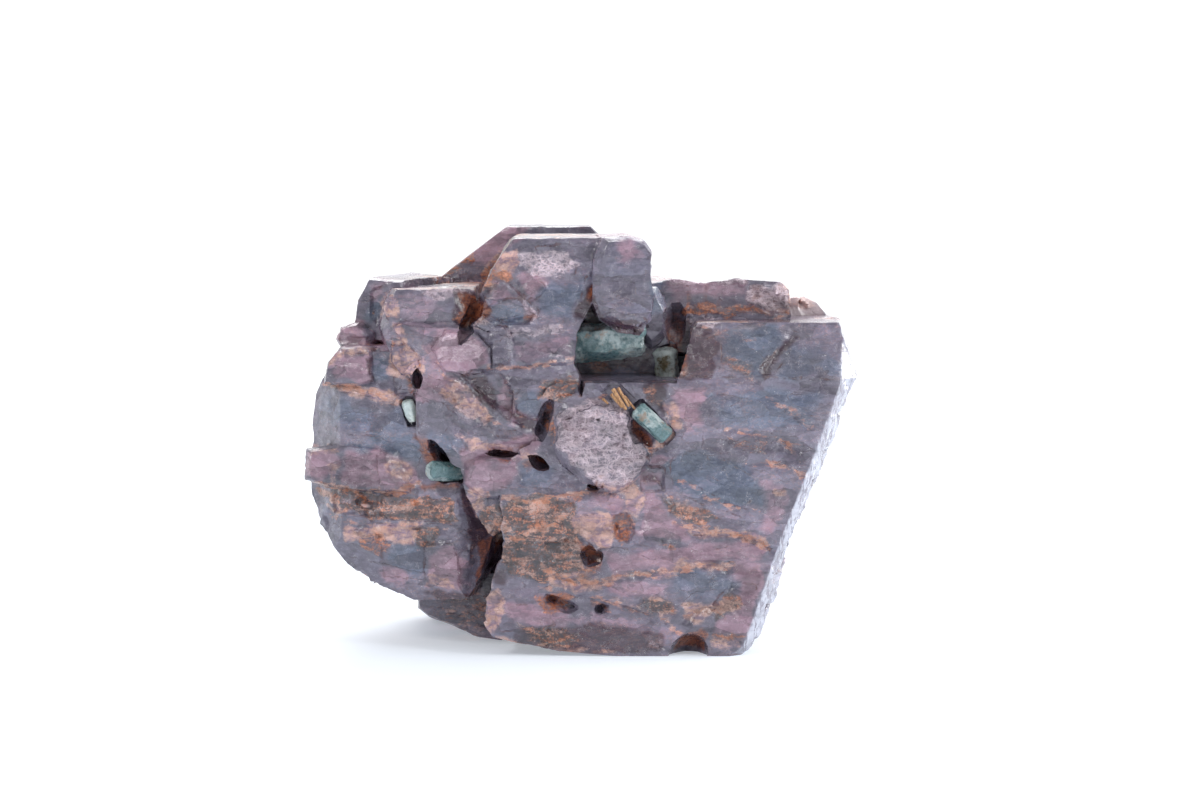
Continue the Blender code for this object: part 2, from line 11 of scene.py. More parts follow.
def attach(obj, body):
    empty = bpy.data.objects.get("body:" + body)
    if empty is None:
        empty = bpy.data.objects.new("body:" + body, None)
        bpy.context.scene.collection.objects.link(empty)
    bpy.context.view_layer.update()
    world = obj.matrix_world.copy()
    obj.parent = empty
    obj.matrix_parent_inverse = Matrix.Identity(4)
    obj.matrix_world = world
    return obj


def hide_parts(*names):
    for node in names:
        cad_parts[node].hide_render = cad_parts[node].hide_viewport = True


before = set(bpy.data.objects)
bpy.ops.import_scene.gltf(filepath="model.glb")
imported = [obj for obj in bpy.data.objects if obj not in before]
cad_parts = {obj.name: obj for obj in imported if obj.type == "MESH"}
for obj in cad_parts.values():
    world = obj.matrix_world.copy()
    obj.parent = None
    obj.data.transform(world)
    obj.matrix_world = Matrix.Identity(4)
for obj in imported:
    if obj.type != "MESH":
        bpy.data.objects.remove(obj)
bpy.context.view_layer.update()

bl_info = {
    "name": "Spinel Cluster",
    "version": (1, 0, 0),
    "blender": (4, 5, 0),
    "location": "3D View > Sidebar > Spinel",
    "description": "Grows the fine surface and the finish of a spinel crystal cluster over its plain solids",
    "category": "Object",
}

MM = 0.001
BODY = "root"

# The marks below are listed in millimetres on a grid of their own: x to the right, y into the cluster, z up.
# This is added to a place in the frame to get its place on that grid.
GRID_SHIFT = np.array((0.008, -0.254, 0.0))

# Half the width of a zone's soft border, and how far from a seam its distance is kept, in millimetres.
ZONE_BORDER = 0.5
SEAM_REACH = 1.0

# Half the width over which a ledge or a facet's edge rises, in millimetres.
STEP_HALF = 0.12

# The ways in which the four pairs of octahedral faces look. The shards are bounded by such faces.
LATTICE = np.array((
    (0.0, -1.0, 0.0), (0.0, -0.333, 0.943), (0.816, -0.333, -0.471), (-0.816, -0.333, -0.471),
))

# Coloured zones on the front, each a strength and an outline (x, z).
ZONES = {
    "blue": [
        (1.0, [(-20.9, 29.8), (-19.4, 29.8), (-18.7, 28.0), (-18.9, 27.4), (-20.8, 27.6)]),
        (1.0, [(-20.8, 22.0), (-17.0, 22.0), (-15.8, 20.6), (-16.2, 18.8), (-18.4, 19.8), (-23.4, 21.0)]),
        (0.9, [(-15.9, 22.0), (-13.4, 22.2), (-12.0, 20.8), (-11.8, 19.4), (-13.6, 19.8), (-15.0, 20.4)]),
        (1.0, [(-22.0, 35.0), (-19.8, 36.2), (-20.2, 34.0), (-21.4, 33.0), (-22.6, 33.4)]),
        (0.8, [(-9.6, 35.6), (-6.0, 35.2), (-4.6, 33.6), (-6.6, 33.0), (-9.4, 33.6)]),
        (0.7, [(-6.2, 26.4), (-4.2, 26.8), (-3.8, 25.6), (-5.0, 24.2), (-6.4, 24.6)]),
        (1.0, [(7.0, 37.6), (8.2, 37.2), (8.4, 35.6), (7.6, 33.6), (7.0, 34.6)]),
        (0.9, [(14.4, 33.0), (19.6, 33.0), (20.0, 30.6), (17.6, 28.2), (15.0, 29.0)]),
        (0.6, [(20.6, 31.6), (24.0, 31.0), (26.0, 28.6), (24.0, 28.2), (19.8, 28.4)]),
        (1.0, [(8.4, 19.6), (13.0, 21.0), (16.0, 19.6), (18.0, 17.6), (18.0, 15.0), (14.0, 15.4),
               (10.0, 16.6)]),
        (0.7, [(13.0, 26.6), (20.0, 27.2), (24.6, 26.6), (23.6, 23.0), (19.0, 22.8), (13.6, 23.0)]),
        (0.6, [(9.6, 8.8), (14.6, 8.8), (15.6, 7.0), (14.8, 5.8), (11.0, 5.6), (8.4, 6.6)]),
        (0.6, [(-6.0, 19.0), (-2.0, 19.2), (-2.0, 16.6), (-5.6, 16.6)]),
        (0.6, [(-26.6, 26.2), (-18.0, 24.6), (-16.6, 22.4), (-20.0, 22.2), (-26.6, 22.8)]),
        (0.7, [(-20.0, 11.4), (-16.0, 11.0), (-15.6, 8.4), (-17.6, 7.8), (-20.0, 8.6)]),
        (0.7, [(-3.6, 37.4), (0.6, 38.0), (-0.4, 34.0), (-3.6, 34.2)]),
    ],
    "mauve": [
        (0.8, [(-21.4, 37.4), (-18.5, 37.6), (-20.5, 36.0), (-22.0, 35.5)]),
        (1.0, [(-24.4, 32.8), (-22.3, 33.4), (-21.5, 32.0), (-21.6, 30.8), (-23.8, 30.4), (-24.8, 31.4)]),
        (0.9, [(-24.8, 30.0), (-21.2, 29.9), (-21.0, 27.6), (-22.5, 27.4), (-25.6, 28.2)]),
        (0.45, [(-18.6, 36.4), (-14.0, 36.2), (-12.6, 34.0), (-13.0, 32.6), (-16.6, 32.2), (-18.6, 33.4)]),
        (1.0, [(-15.3, 31.5), (-13.6, 32.8), (-10.5, 32.6), (-8.9, 31.0), (-8.8, 29.0), (-12.0, 28.2),
               (-14.6, 29.0)]),
        (0.9, [(-17.2, 28.0), (-14.6, 28.6), (-12.2, 28.0), (-11.6, 26.4), (-13.6, 25.4), (-16.4, 25.6)]),
        (0.8, [(-8.0, 28.4), (-6.8, 27.0), (-6.4, 25.2), (-5.0, 23.6), (-7.4, 22.8), (-8.6, 25.6)]),
        (0.6, [(-7.0, 29.6), (-0.6, 30.0), (-0.8, 31.8), (-6.4, 31.4)]),
        (1.0, [(-12.4, 20.4), (-9.6, 21.2), (-4.4, 22.6), (-3.6, 20.6), (-6.0, 19.4), (-9.0, 19.6),
               (-11.6, 18.0)]),
        (0.9, [(-6.6, 38.0), (-3.6, 38.4), (-2.6, 37.2), (-4.4, 35.8), (-6.2, 36.8)]),
        (0.8, [(-8.6, 37.6), (-7.4, 37.2), (-6.0, 35.8), (-9.4, 35.8)]),
        (1.0, [(-28.4, 20.4), (-25.6, 21.0), (-24.2, 19.0), (-26.0, 16.6), (-28.4, 17.6)]),
        (1.0, [(-24.2, 20.4), (-20.6, 20.6), (-17.4, 19.2), (-15.8, 17.2), (-17.0, 16.2), (-24.0, 16.8)]),
        (0.8, [(3.6, 41.8), (5.8, 42.0), (6.8, 40.6), (5.4, 39.6), (3.4, 40.0)]),
        (0.7, [(16.8, 36.8), (21.4, 37.2), (21.2, 33.8), (17.0, 34.0)]),
        (0.9, [(8.6, 37.4), (16.8, 37.4), (16.8, 35.6), (8.6, 35.6)]),
        (0.9, [(-13.0, 40.4), (-7.0, 44.4), (0.8, 44.6), (0.8, 42.6), (-6.0, 42.4), (-10.0, 38.6)]),
        (1.0, [(9.6, 27.2), (12.4, 27.0), (12.2, 23.4), (10.0, 22.8), (9.4, 24.6)]),
        (1.0, [(-15.6, 10.2), (-13.0, 11.6), (-11.8, 9.0), (-11.4, 7.0), (-12.4, 6.2), (-15.6, 6.4)]),
        (0.9, [(-20.6, 8.2), (-18.2, 8.2), (-17.6, 6.2), (-19.8, 7.0)]),
        (1.0, [(-11.8, 19.4), (-9.0, 19.8), (-6.4, 19.6), (-6.0, 18.0), (-8.0, 16.6), (-10.0, 16.0),
               (-11.8, 17.4)]),
        (0.8, [(-8.0, 5.8), (-1.5, 5.2), (2.0, 4.0), (-1.0, 2.8), (-4.0, 2.8), (-8.0, 3.8)]),
        (1.0, [(6.6, 20.4), (8.2, 21.0), (9.6, 20.2), (8.6, 19.2), (7.0, 19.4)]),
        (0.9, [(6.0, 19.4), (8.4, 19.0), (8.2, 17.4), (6.2, 16.8)]),
        (0.7, [(1.0, 17.0), (4.2, 16.6), (4.0, 14.6), (1.0, 15.0)]),
        (1.0, [(6.4, 16.8), (8.0, 15.8), (10.2, 13.2), (10.8, 12.0), (6.2, 12.0), (6.0, 14.0)]),
        (1.0, [(2.4, 10.6), (6.0, 10.4), (12.0, 11.6), (18.4, 11.6), (18.4, 9.8), (14.6, 9.8),
               (10.0, 9.2), (3.0, 8.0)]),
        (0.8, [(2.4, 8.0), (6.0, 7.8), (8.4, 7.2), (8.0, 5.8), (4.0, 5.8), (2.0, 7.0)]),
        (0.8, [(18.0, 18.2), (20.8, 17.8), (21.6, 16.0), (19.8, 12.8), (18.4, 12.6)]),
        (1.0, [(16.0, 10.0), (18.4, 9.6), (18.2, 7.4), (17.4, 3.6), (15.4, 4.0), (15.6, 7.4)]),
        (0.9, [(12.8, 3.2), (15.0, 4.6), (17.2, 4.8), (16.8, 2.0), (13.0, 2.2)]),
        (0.4, [(-6.0, 4.0), (4.0, 4.2), (9.0, 2.8), (8.0, 0.4), (0.0, 0.4), (-6.0, 1.6)]),
    ],
    "wine": [
        (1.0, [(-12.6, 36.2), (-10.4, 36.8), (-9.2, 35.0), (-10.0, 33.6), (-11.4, 32.6), (-12.4, 33.8)]),
        (1.0, [(-11.6, 28.4), (-9.6, 28.6), (-8.4, 27.0), (-8.2, 25.0), (-9.6, 25.0), (-10.8, 26.6)]),
        (0.9, [(-7.6, 24.6), (-5.6, 24.0), (-4.6, 22.8), (-6.6, 22.2)]),
        (0.9, [(-21.8, 29.4), (-20.9, 29.6), (-20.8, 27.4), (-21.6, 27.2)]),
        (1.0, [(-0.2, 34.2), (0.8, 37.2), (2.0, 36.4), (3.2, 34.2), (6.2, 33.4), (6.0, 31.8),
               (2.6, 32.2), (1.0, 33.4)]),
        (0.6, [(3.4, 36.6), (5.4, 36.6), (5.6, 34.8), (3.8, 34.6)]),
        (0.55, [(8.4, 36.2), (16.8, 35.8), (17.0, 33.6), (10.0, 33.6), (8.2, 35.0)]),
        (0.9, [(9.4, 33.6), (13.0, 33.2), (14.8, 31.0), (12.6, 28.2), (9.4, 28.0)]),
        (0.55, [(12.6, 33.0), (16.6, 33.0), (16.4, 30.6), (13.6, 28.6)]),
        (0.9, [(20.6, 32.8), (22.2, 32.2), (19.8, 29.6), (18.0, 27.8), (17.4, 28.6), (19.4, 31.0)]),
        (1.0, [(6.2, 27.8), (8.6, 27.8), (9.4, 26.2), (8.8, 24.2), (7.0, 25.4)]),
        (0.5, [(15.0, 22.6), (18.0, 22.8), (23.0, 21.6), (23.0, 19.8), (20.0, 19.8), (16.0, 20.8)]),
        (1.0, [(-12.4, 16.6), (-11.0, 16.4), (-9.6, 14.0), (-9.4, 12.0), (-10.4, 10.6), (-11.8, 9.0),
               (-11.2, 13.0)]),
        (1.0, [(-15.8, 5.8), (-12.0, 6.0), (-9.8, 5.8), (-10.0, 3.8), (-14.0, 3.8)]),
        (0.8, [(-10.0, 8.8), (-8.0, 9.2), (-7.6, 7.6), (-9.2, 7.2)]),
        (0.6, [(15.6, 9.8), (18.0, 9.0), (17.4, 4.2), (15.8, 4.6)]),
        # This wine zone makes the band along the bottom darker.
        (0.8, [(-6.0, 2.8), (4.0, 3.4), (8.6, 2.8), (8.0, 0.2), (2.0, 0.0), (-7.0, 0.8)]),
        (0.8, [(2.8, 30.2), (7.4, 30.4), (7.4, 28.2), (2.8, 28.0)]),
        (0.5, [(-4.0, 28.0), (0.0, 28.6), (0.8, 26.6), (-1.6, 25.6), (-4.0, 26.0)]),
        (0.7, [(6.2, 19.2), (8.0, 19.0), (8.0, 17.6), (6.4, 17.0)]),
    ],
    "teal": [
        (1.0, [(-26.8, 16.4), (-24.0, 16.4), (-20.0, 15.8), (-13.0, 15.8), (-12.6, 13.4),
               (-17.0, 13.4), (-25.0, 14.2)]),
        (0.9, [(-17.6, 13.0), (-14.6, 12.8), (-14.4, 11.0), (-17.2, 10.6)]),
        (1.0, [(-9.6, 14.4), (-6.0, 16.4), (-0.6, 16.0), (0.2, 11.4), (0.6, 8.6), (-3.6, 7.0),
               (-7.8, 8.2), (-9.4, 12.0)]),
        (0.9, [(8.0, 16.2), (10.0, 15.9), (12.6, 15.0), (14.2, 14.0), (11.0, 13.4), (8.8, 14.8)]),
        (0.8, [(6.0, 6.0), (9.4, 5.6), (10.0, 4.2), (8.0, 4.0), (6.0, 4.8)]),
        (0.9, [(14.4, 6.6), (16.0, 5.8), (16.0, 4.8), (12.8, 3.2), (13.2, 4.4)]),
        (0.7, [(-4.0, 28.0), (0.0, 28.6), (0.4, 27.0), (-2.0, 25.6), (-4.0, 26.0)]),
        (0.6, [(16.0, 30.0), (18.0, 29.6), (17.0, 28.0), (14.6, 28.2), (14.4, 30.4)]),
        (0.7, [(-6.4, 3.2), (-1.0, 2.8), (1.0, 1.2), (-4.4, 0.8)]),
        (0.5, [(14.0, 22.6), (18.6, 22.2), (18.0, 20.4), (15.0, 21.2)]),
    ],
    "salmon": [
        # A painted highlight: a lighter salmon-pink patch where the rose plate catches the light.
        (1.0, [(-20.8, 18.8), (-19.6, 19.6), (-18.0, 19.4), (-16.4, 17.8), (-17.4, 16.8), (-19.2, 17.4)]),
        (0.8, [(-26.0, 19.0), (-24.4, 19.0), (-24.0, 17.0), (-25.0, 16.4)]),
        (0.8, [(-27.4, 21.0), (-24.0, 21.2), (-24.6, 20.2), (-28.0, 19.6)]),
        (1.0, [(-25.8, 27.7), (-24.0, 27.4), (-20.4, 26.8), (-18.0, 25.8), (-17.8, 24.8),
               (-24.0, 26.2), (-26.4, 26.8)]),
        (1.0, [(-25.2, 30.4), (-21.4, 31.4), (-20.4, 30.6), (-21.6, 29.7), (-24.2, 29.7), (-25.6, 28.6)]),
        (1.0, [(-19.8, 33.2), (-18.2, 33.0), (-16.9, 31.6), (-17.4, 30.6), (-18.6, 31.2)]),
        (1.0, [(-19.6, 30.8), (-17.0, 31.0), (-15.6, 30.0), (-15.4, 28.6), (-17.4, 27.4), (-18.8, 28.0)]),
        (0.9, [(-20.6, 35.8), (-19.4, 36.4), (-18.4, 35.4), (-18.6, 33.2), (-19.8, 33.8)]),
        (0.9, [(-13.2, 28.2), (-12.0, 27.8), (-9.8, 25.8), (-8.8, 24.2), (-10.4, 23.2), (-12.0, 24.8),
               (-13.8, 26.2)]),
        (0.9, [(-12.8, 22.2), (-11.0, 21.8), (-9.8, 21.4), (-6.0, 21.4), (-9.6, 20.4), (-11.4, 20.4)]),
        (0.9, [(-6.4, 21.2), (-4.0, 21.2), (-3.2, 20.4), (-5.4, 19.4)]),
        (1.0, [(-10.2, 38.6), (-8.6, 40.4), (-6.4, 41.0), (-5.6, 39.4), (-8.0, 37.4), (-9.4, 36.2)]),
        (0.8, [(16.8, 37.0), (21.4, 37.2), (21.2, 33.8), (18.4, 34.0), (17.6, 35.4)]),
        (1.0, [(21.0, 36.0), (23.0, 35.8), (25.0, 34.6), (21.0, 34.0)]),
        (0.9, [(-6.0, 44.4), (0.6, 44.6), (1.4, 43.4), (-5.0, 43.2)]),
        (1.0, [(8.6, 25.8), (9.5, 25.4), (9.8, 22.4), (8.4, 21.2), (6.8, 20.8), (7.6, 22.0), (8.8, 22.8)]),
        (1.0, [(-24.4, 12.6), (-20.0, 13.4), (-15.4, 13.4), (-16.8, 12.4), (-17.4, 11.0),
               (-20.0, 11.4), (-24.0, 10.6)]),
        (0.9, [(-27.0, 14.8), (-25.0, 14.9), (-24.8, 14.0), (-26.2, 13.8)]),
        (0.9, [(-15.6, 7.8), (-13.6, 7.8), (-12.4, 7.0), (-12.6, 6.2), (-15.6, 6.4)]),
        (1.0, [(-10.4, 6.4), (-8.8, 7.2), (-7.8, 6.0), (-8.0, 3.0), (-9.0, 1.6), (-10.2, 2.6)]),
        (0.9, [(-10.8, 17.2), (-8.8, 17.0), (-9.2, 14.4), (-10.0, 14.0), (-11.2, 15.2)]),
        (0.8, [(1.0, 18.4), (5.0, 18.4), (6.0, 17.4), (5.0, 16.4), (2.0, 17.0)]),
        (1.0, [(4.4, 17.2), (5.9, 17.6), (6.4, 15.4), (5.6, 13.8), (4.0, 14.6)]),
        (1.0, [(-1.2, 14.4), (1.0, 14.8), (3.6, 14.4), (4.2, 12.2), (3.6, 10.4), (2.4, 10.8),
               (0.6, 11.8), (-0.6, 12.4)]),
        (0.8, [(-3.0, 8.6), (0.6, 8.8), (2.0, 8.0), (1.6, 6.4), (-2.8, 6.6)]),
        (1.0, [(9.8, 12.9), (14.0, 13.0), (18.0, 12.6), (19.0, 11.2), (16.0, 11.8), (12.0, 11.8)]),
        (0.9, [(6.6, 8.5), (10.0, 9.8), (14.6, 10.0), (14.8, 9.2), (11.6, 8.8), (8.0, 8.0)]),
        (1.0, [(10.6, 5.2), (12.0, 5.6), (14.8, 5.9), (14.2, 4.8), (12.6, 4.0), (10.8, 3.6)]),
        (0.9, [(18.8, 17.6), (21.2, 17.4), (20.8, 16.2), (19.0, 16.4)]),
        (0.8, [(12.8, 2.2), (16.6, 2.2), (16.6, 0.2), (13.4, 0.2)]),
        (0.7, [(-8.8, 2.2), (-8.0, 1.0), (-4.0, 0.8), (0.0, 0.2), (4.0, 0.1), (4.0, 0.6), (-4.0, 1.6)]),
        (0.6, [(1.6, 6.6), (5.4, 5.6), (9.6, 3.8), (9.4, 3.0), (5.0, 4.8), (1.6, 5.8)]),
    ],
    "frost": [
        (1.0, [(-2.4, 24.4), (0.6, 25.6), (2.6, 25.9), (5.0, 25.2), (5.7, 23.4), (6.6, 20.8),
               (6.2, 18.6), (4.6, 17.4),
               (1.6, 17.4), (-0.6, 19.2), (-2.4, 21.0)]),
        (0.8, [(-6.2, 40.6), (-1.0, 41.2), (-0.4, 39.6), (-2.2, 38.0), (-4.4, 38.0), (-6.0, 38.8)]),
        (0.7, [(-18.6, 37.2), (-11.2, 37.2), (-10.8, 36.2), (-13.4, 35.6), (-15.8, 36.4)]),
        (0.6, [(-5.8, 36.8), (-4.4, 35.6), (-3.8, 33.4), (-4.8, 33.4), (-5.8, 35.2)]),
        (0.6, [(-7.0, 33.0), (-4.6, 32.8), (-2.2, 33.6), (-0.6, 32.4), (-3.0, 31.8), (-6.8, 31.6)]),
        (0.5, [(-15.0, 32.4), (-10.4, 32.6), (-9.0, 30.6), (-9.8, 29.2), (-14.0, 29.4)]),
        (0.5, [(-13.2, 26.0), (-10.4, 25.2), (-9.4, 22.8), (-11.8, 22.8)]),
        (0.7, [(10.8, 33.8), (14.2, 33.7), (13.4, 32.8), (11.2, 32.8)]),
        # A painted highlight along the top edge of the ledge behind.
        (1.0, [(8.8, 38.0), (16.8, 38.0), (16.8, 36.9), (8.8, 36.7)]),
        (1.0, [(16.9, 36.8), (21.2, 37.4), (21.2, 34.8), (17.2, 34.6)]),
        (0.8, [(-13.6, 40.0), (-9.6, 42.8), (-8.6, 42.6), (-12.0, 39.4)]),
        (0.5, [(-13.6, 21.2), (-12.0, 21.2), (-11.8, 19.4), (-13.4, 19.8)]),
        (0.6, [(6.2, 14.8), (7.0, 15.0), (7.2, 12.4), (6.2, 12.2)]),
        (0.6, [(-24.8, 15.4), (-23.4, 15.2), (-23.6, 14.4), (-24.6, 14.6)]),
        (0.5, [(6.0, 2.6), (8.4, 2.4), (8.2, 0.6), (6.6, 0.4)]),
        (0.5, [(12.6, 22.4), (14.8, 21.8), (14.0, 20.8), (12.6, 21.2)]),
    ],
    "rust": [
        (1.0, [(-10.8, 37.8), (-9.0, 39.4), (-7.2, 39.0), (-6.8, 37.6), (-8.4, 37.4), (-9.8, 36.2)]),
        (1.0, [(-12.5, 34.4), (-11.4, 34.5), (-11.3, 33.7), (-12.4, 33.6)]),
        (1.0, [(-19.6, 31.8), (-18.8, 31.8), (-18.8, 31.0), (-19.5, 31.0)]),
        (0.8, [(-20.4, 34.2), (-19.4, 34.2), (-19.4, 33.3), (-20.0, 33.3)]),
        (0.9, [(-17.0, 29.4), (-16.0, 29.4), (-16.1, 28.6), (-16.8, 28.6)]),
        (0.9, [(-21.6, 34.8), (-20.9, 34.8), (-20.9, 33.6), (-21.5, 33.8)]),
        (0.8, [(-4.6, 23.6), (-3.6, 25.8), (-2.7, 24.0), (-2.3, 21.4), (-3.2, 20.2), (-3.6, 22.2)]),
        (0.9, [(10.0, 35.2), (14.0, 35.3), (17.0, 34.9), (21.4, 34.4), (21.4, 33.6), (10.0, 33.8)]),
        (0.5, [(12.0, 36.8), (16.6, 36.8), (16.6, 36.0), (12.0, 35.8)]),
        (0.9, [(21.0, 35.4), (23.4, 35.2), (23.8, 34.4), (21.0, 34.0)]),
        (0.4, [(11.2, 28.8), (14.0, 29.8), (15.4, 31.0), (16.0, 28.4), (13.0, 28.0)]),
        (0.7, [(6.4, 27.6), (7.8, 27.6), (8.2, 25.6), (7.2, 25.2), (6.4, 26.4)]),
        (1.0, [(2.1, 26.3), (2.7, 26.3), (2.7, 25.7), (2.1, 25.7)]),
        (0.9, [(-23.8, 16.4), (-22.2, 16.0), (-21.0, 14.6), (-21.2, 13.6), (-22.8, 14.6)]),
        (0.9, [(-17.4, 15.8), (-15.6, 15.6), (-15.8, 14.6), (-17.2, 14.6)]),
        (0.8, [(-22.4, 12.2), (-19.8, 12.6), (-20.0, 11.0), (-20.6, 9.2), (-22.4, 10.0)]),
        (0.8, [(-24.0, 16.9), (-20.6, 16.9), (-16.0, 17.0), (-17.0, 15.8), (-22.0, 15.9)]),
        # A painted highlight: lighter red-orange at the foot of the curved dark red edge.
        (0.6, [(-12.2, 10.6), (-10.8, 11.6), (-10.6, 9.0), (-11.8, 8.2)]),
        (0.7, [(-5.8, 14.2), (-3.8, 14.2), (-3.6, 12.8), (-5.2, 12.6)]),
        (0.8, [(-2.4, 16.4), (0.0, 17.0), (3.8, 17.0), (4.4, 16.1), (1.0, 15.9), (-1.6, 15.2)]),
        (1.0, [(3.2, 14.4), (4.6, 14.6), (6.0, 12.4), (5.0, 11.4), (3.6, 12.4)]),
        (0.8, [(8.2, 12.0), (9.8, 11.6), (9.5, 10.4), (8.0, 10.8)]),
        (0.9, [(0.4, 9.0), (1.8, 8.8), (1.6, 7.4), (-0.6, 8.0), (-2.4, 8.6), (-2.4, 7.6), (0.6, 7.0)]),
        (0.9, [(-4.4, 6.2), (-1.6, 6.4), (0.2, 6.4), (-0.6, 4.8), (-2.2, 4.2), (-3.4, 4.8)]),
        (0.9, [(1.2, 5.8), (2.8, 5.2), (2.8, 4.0), (1.4, 4.4)]),
        (0.9, [(15.6, 12.8), (17.0, 12.5), (19.0, 11.6), (19.0, 10.9), (16.8, 11.6), (15.6, 11.9)]),
        (0.9, [(12.6, 2.4), (14.6, 2.6), (16.6, 2.2), (16.4, 1.2), (13.6, 1.2)]),
        (0.6, [(17.6, 22.8), (20.6, 22.4), (23.0, 21.4), (22.8, 20.6), (19.8, 21.2)]),
        (0.5, [(-10.2, 5.4), (-9.0, 6.4), (-8.4, 4.0), (-9.6, 2.0)]),
        (0.5, [(-9.6, 13.8), (-7.6, 13.4), (-8.0, 12.0), (-9.4, 12.4)]),
        (0.5, [(-2.0, 1.4), (4.0, 0.9), (8.0, 0.4), (8.0, 0.0), (-2.0, 0.4)]),
        (1.0, [(-15.6, 38.0), (-12.4, 40.8), (-11.0, 40.0), (-12.6, 37.6), (-15.0, 37.2)]),
        (1.0, [(-3.0, 44.0), (0.8, 44.0), (1.2, 42.8), (-3.0, 43.0)]),
    ],
    # The dark zones are painted shade: crevices, pits and hollows, darkened towards the depth colour.
    "dark": [
        (1.0, [(-12.0, 36.0), (-10.4, 36.4), (-9.4, 35.0), (-10.2, 33.8), (-11.4, 33.0), (-11.9, 34.2)]),
        (1.0, [(-17.2, 27.8), (-16.5, 27.8), (-16.4, 26.2), (-16.9, 26.2)]),
        (0.8, [(-6.0, 34.8), (-4.2, 34.4), (-4.1, 33.6), (-5.6, 33.8)]),
        (0.9, [(-9.6, 21.0), (-6.0, 21.1), (-7.0, 19.8), (-8.2, 19.6)]),
        (1.0, [(-16.9, 21.8), (-15.8, 22.0), (-14.6, 20.0), (-15.4, 19.0), (-16.1, 19.6)]),
        (0.8, [(-5.6, 19.6), (-3.3, 20.4), (-3.9, 18.6), (-4.9, 18.0)]),
        (1.0, [(0.4, 36.0), (1.5, 38.0), (2.1, 36.4), (1.4, 34.8)]),
        (0.8, [(8.4, 34.4), (10.6, 33.8), (10.4, 28.4), (8.2, 28.4)]),
        (1.0, [(0.2, 29.8), (1.6, 30.6), (3.2, 29.8), (3.4, 28.0), (1.6, 28.0)]),
        (1.0, [(5.2, 23.8), (5.8, 23.8), (7.6, 22.0), (7.2, 20.9), (6.6, 21.2)]),
        (1.0, [(-10.6, 11.6), (-9.0, 11.8), (-7.8, 10.2), (-9.2, 8.6), (-9.8, 6.8), (-10.9, 6.6),
               (-10.3, 9.4)]),
        (0.8, [(-15.6, 5.0), (-14.0, 4.6), (-11.0, 4.2), (-12.6, 3.4), (-15.8, 4.0)]),
        (0.8, [(-16.0, 17.4), (-12.2, 17.4), (-12.2, 16.4), (-15.6, 16.3)]),
        (1.0, [(-0.3, 11.4), (1.6, 11.2), (2.4, 9.8), (2.0, 8.6), (1.0, 8.7), (0.5, 10.0)]),
        (0.7, [(-3.2, 5.8), (-0.6, 5.8), (-1.2, 4.8), (-2.4, 4.6)]),
        (0.7, [(1.4, 5.4), (2.5, 5.0), (2.4, 4.3), (1.6, 4.4)]),
        (1.0, [(0.9, 17.6), (1.6, 17.8), (2.0, 17.2), (1.2, 16.9)]),
        (0.8, [(0.0, 15.9), (0.7, 15.9), (0.7, 15.0), (0.1, 15.1)]),
        (1.0, [(8.8, 0.4), (10.4, 2.6), (11.8, 3.0), (12.8, 2.0), (12.6, 0.0), (8.8, 0.0)]),
        (0.6, [(11.4, 15.4), (13.4, 15.0), (13.2, 14.4), (11.4, 14.4)]),
        (0.6, [(-3.8, 25.4), (-3.0, 25.8), (-2.6, 24.4), (-3.4, 23.4)]),
        (0.8, [(10.4, 36.6), (11.0, 36.6), (10.8, 34.8), (10.1, 34.8)]),
        (0.7, [(12.0, 36.8), (12.6, 36.8), (12.3, 35.0), (11.8, 35.0)]),
        (0.7, [(13.6, 36.4), (14.2, 36.4), (13.8, 35.0), (13.3, 35.0)]),
    ],
}

# Thin veins on the front, as points (x, z) with a strength.
VEINS = [
    ([(-25.9, 27.0), (-23.6, 26.8), (-20.4, 26.2), (-18.0, 25.2)], 1.0),
    ([(-9.1, 29.1), (-5.0, 29.3), (-0.3, 29.9)], 0.8),
    ([(-16.0, 31.6), (-12.8, 27.4), (-10.2, 25.4), (-7.8, 22.6)], 0.6),
    ([(-8.0, 28.4), (-6.6, 25.6), (-5.6, 23.0)], 0.6),
    ([(-26.6, 16.9), (-22.0, 16.3), (-18.4, 16.4), (-16.4, 17.2)], 1.0),
    ([(-25.4, 13.6), (-22.6, 12.6), (-18.0, 13.0), (-13.6, 12.4)], 0.7),
    ([(-7.6, 16.2), (-4.0, 15.6), (-1.6, 16.4), (1.4, 16.8)], 1.0),
    ([(-6.4, 12.0), (-3.8, 12.8), (-1.6, 14.2)], 0.9),
    ([(-3.8, 9.0), (-1.0, 7.7), (1.6, 7.6), (6.4, 8.4), (9.6, 8.6), (13.2, 9.4), (15.4, 9.2)], 0.9),
    ([(1.4, 5.8), (4.6, 5.0), (6.8, 4.5), (9.8, 2.6)], 0.8),
    ([(9.4, 13.4), (12.6, 12.8), (16.0, 12.2), (19.2, 10.8)], 0.9),
    ([(14.6, 22.8), (18.6, 22.4), (21.6, 20.8)], 0.8),
    ([(17.0, 19.6), (20.0, 19.2), (22.8, 18.2)], 0.8),
    ([(18.6, 26.0), (20.8, 24.8), (22.8, 23.4)], 0.7),
    ([(9.8, 18.0), (12.6, 16.2), (15.2, 15.0), (18.0, 14.6)], 0.7),
    ([(8.0, 25.6), (9.4, 24.2), (8.6, 22.0), (7.4, 20.4)], 0.7),
    ([(-9.4, 6.4), (-9.2, 3.0), (-8.6, 1.6)], 0.4),
    ([(-6.0, 7.8), (-3.0, 6.8), (-0.4, 5.6)], 0.6),
    ([(10.6, 4.2), (12.6, 4.9), (14.6, 4.7)], 0.7),
    ([(10.0, 33.0), (16.0, 33.2), (23.0, 33.4)], 0.5),
    ([(-9.4, 16.6), (-8.6, 13.8), (-7.8, 12.0), (-6.8, 11.2)], 0.7),
]


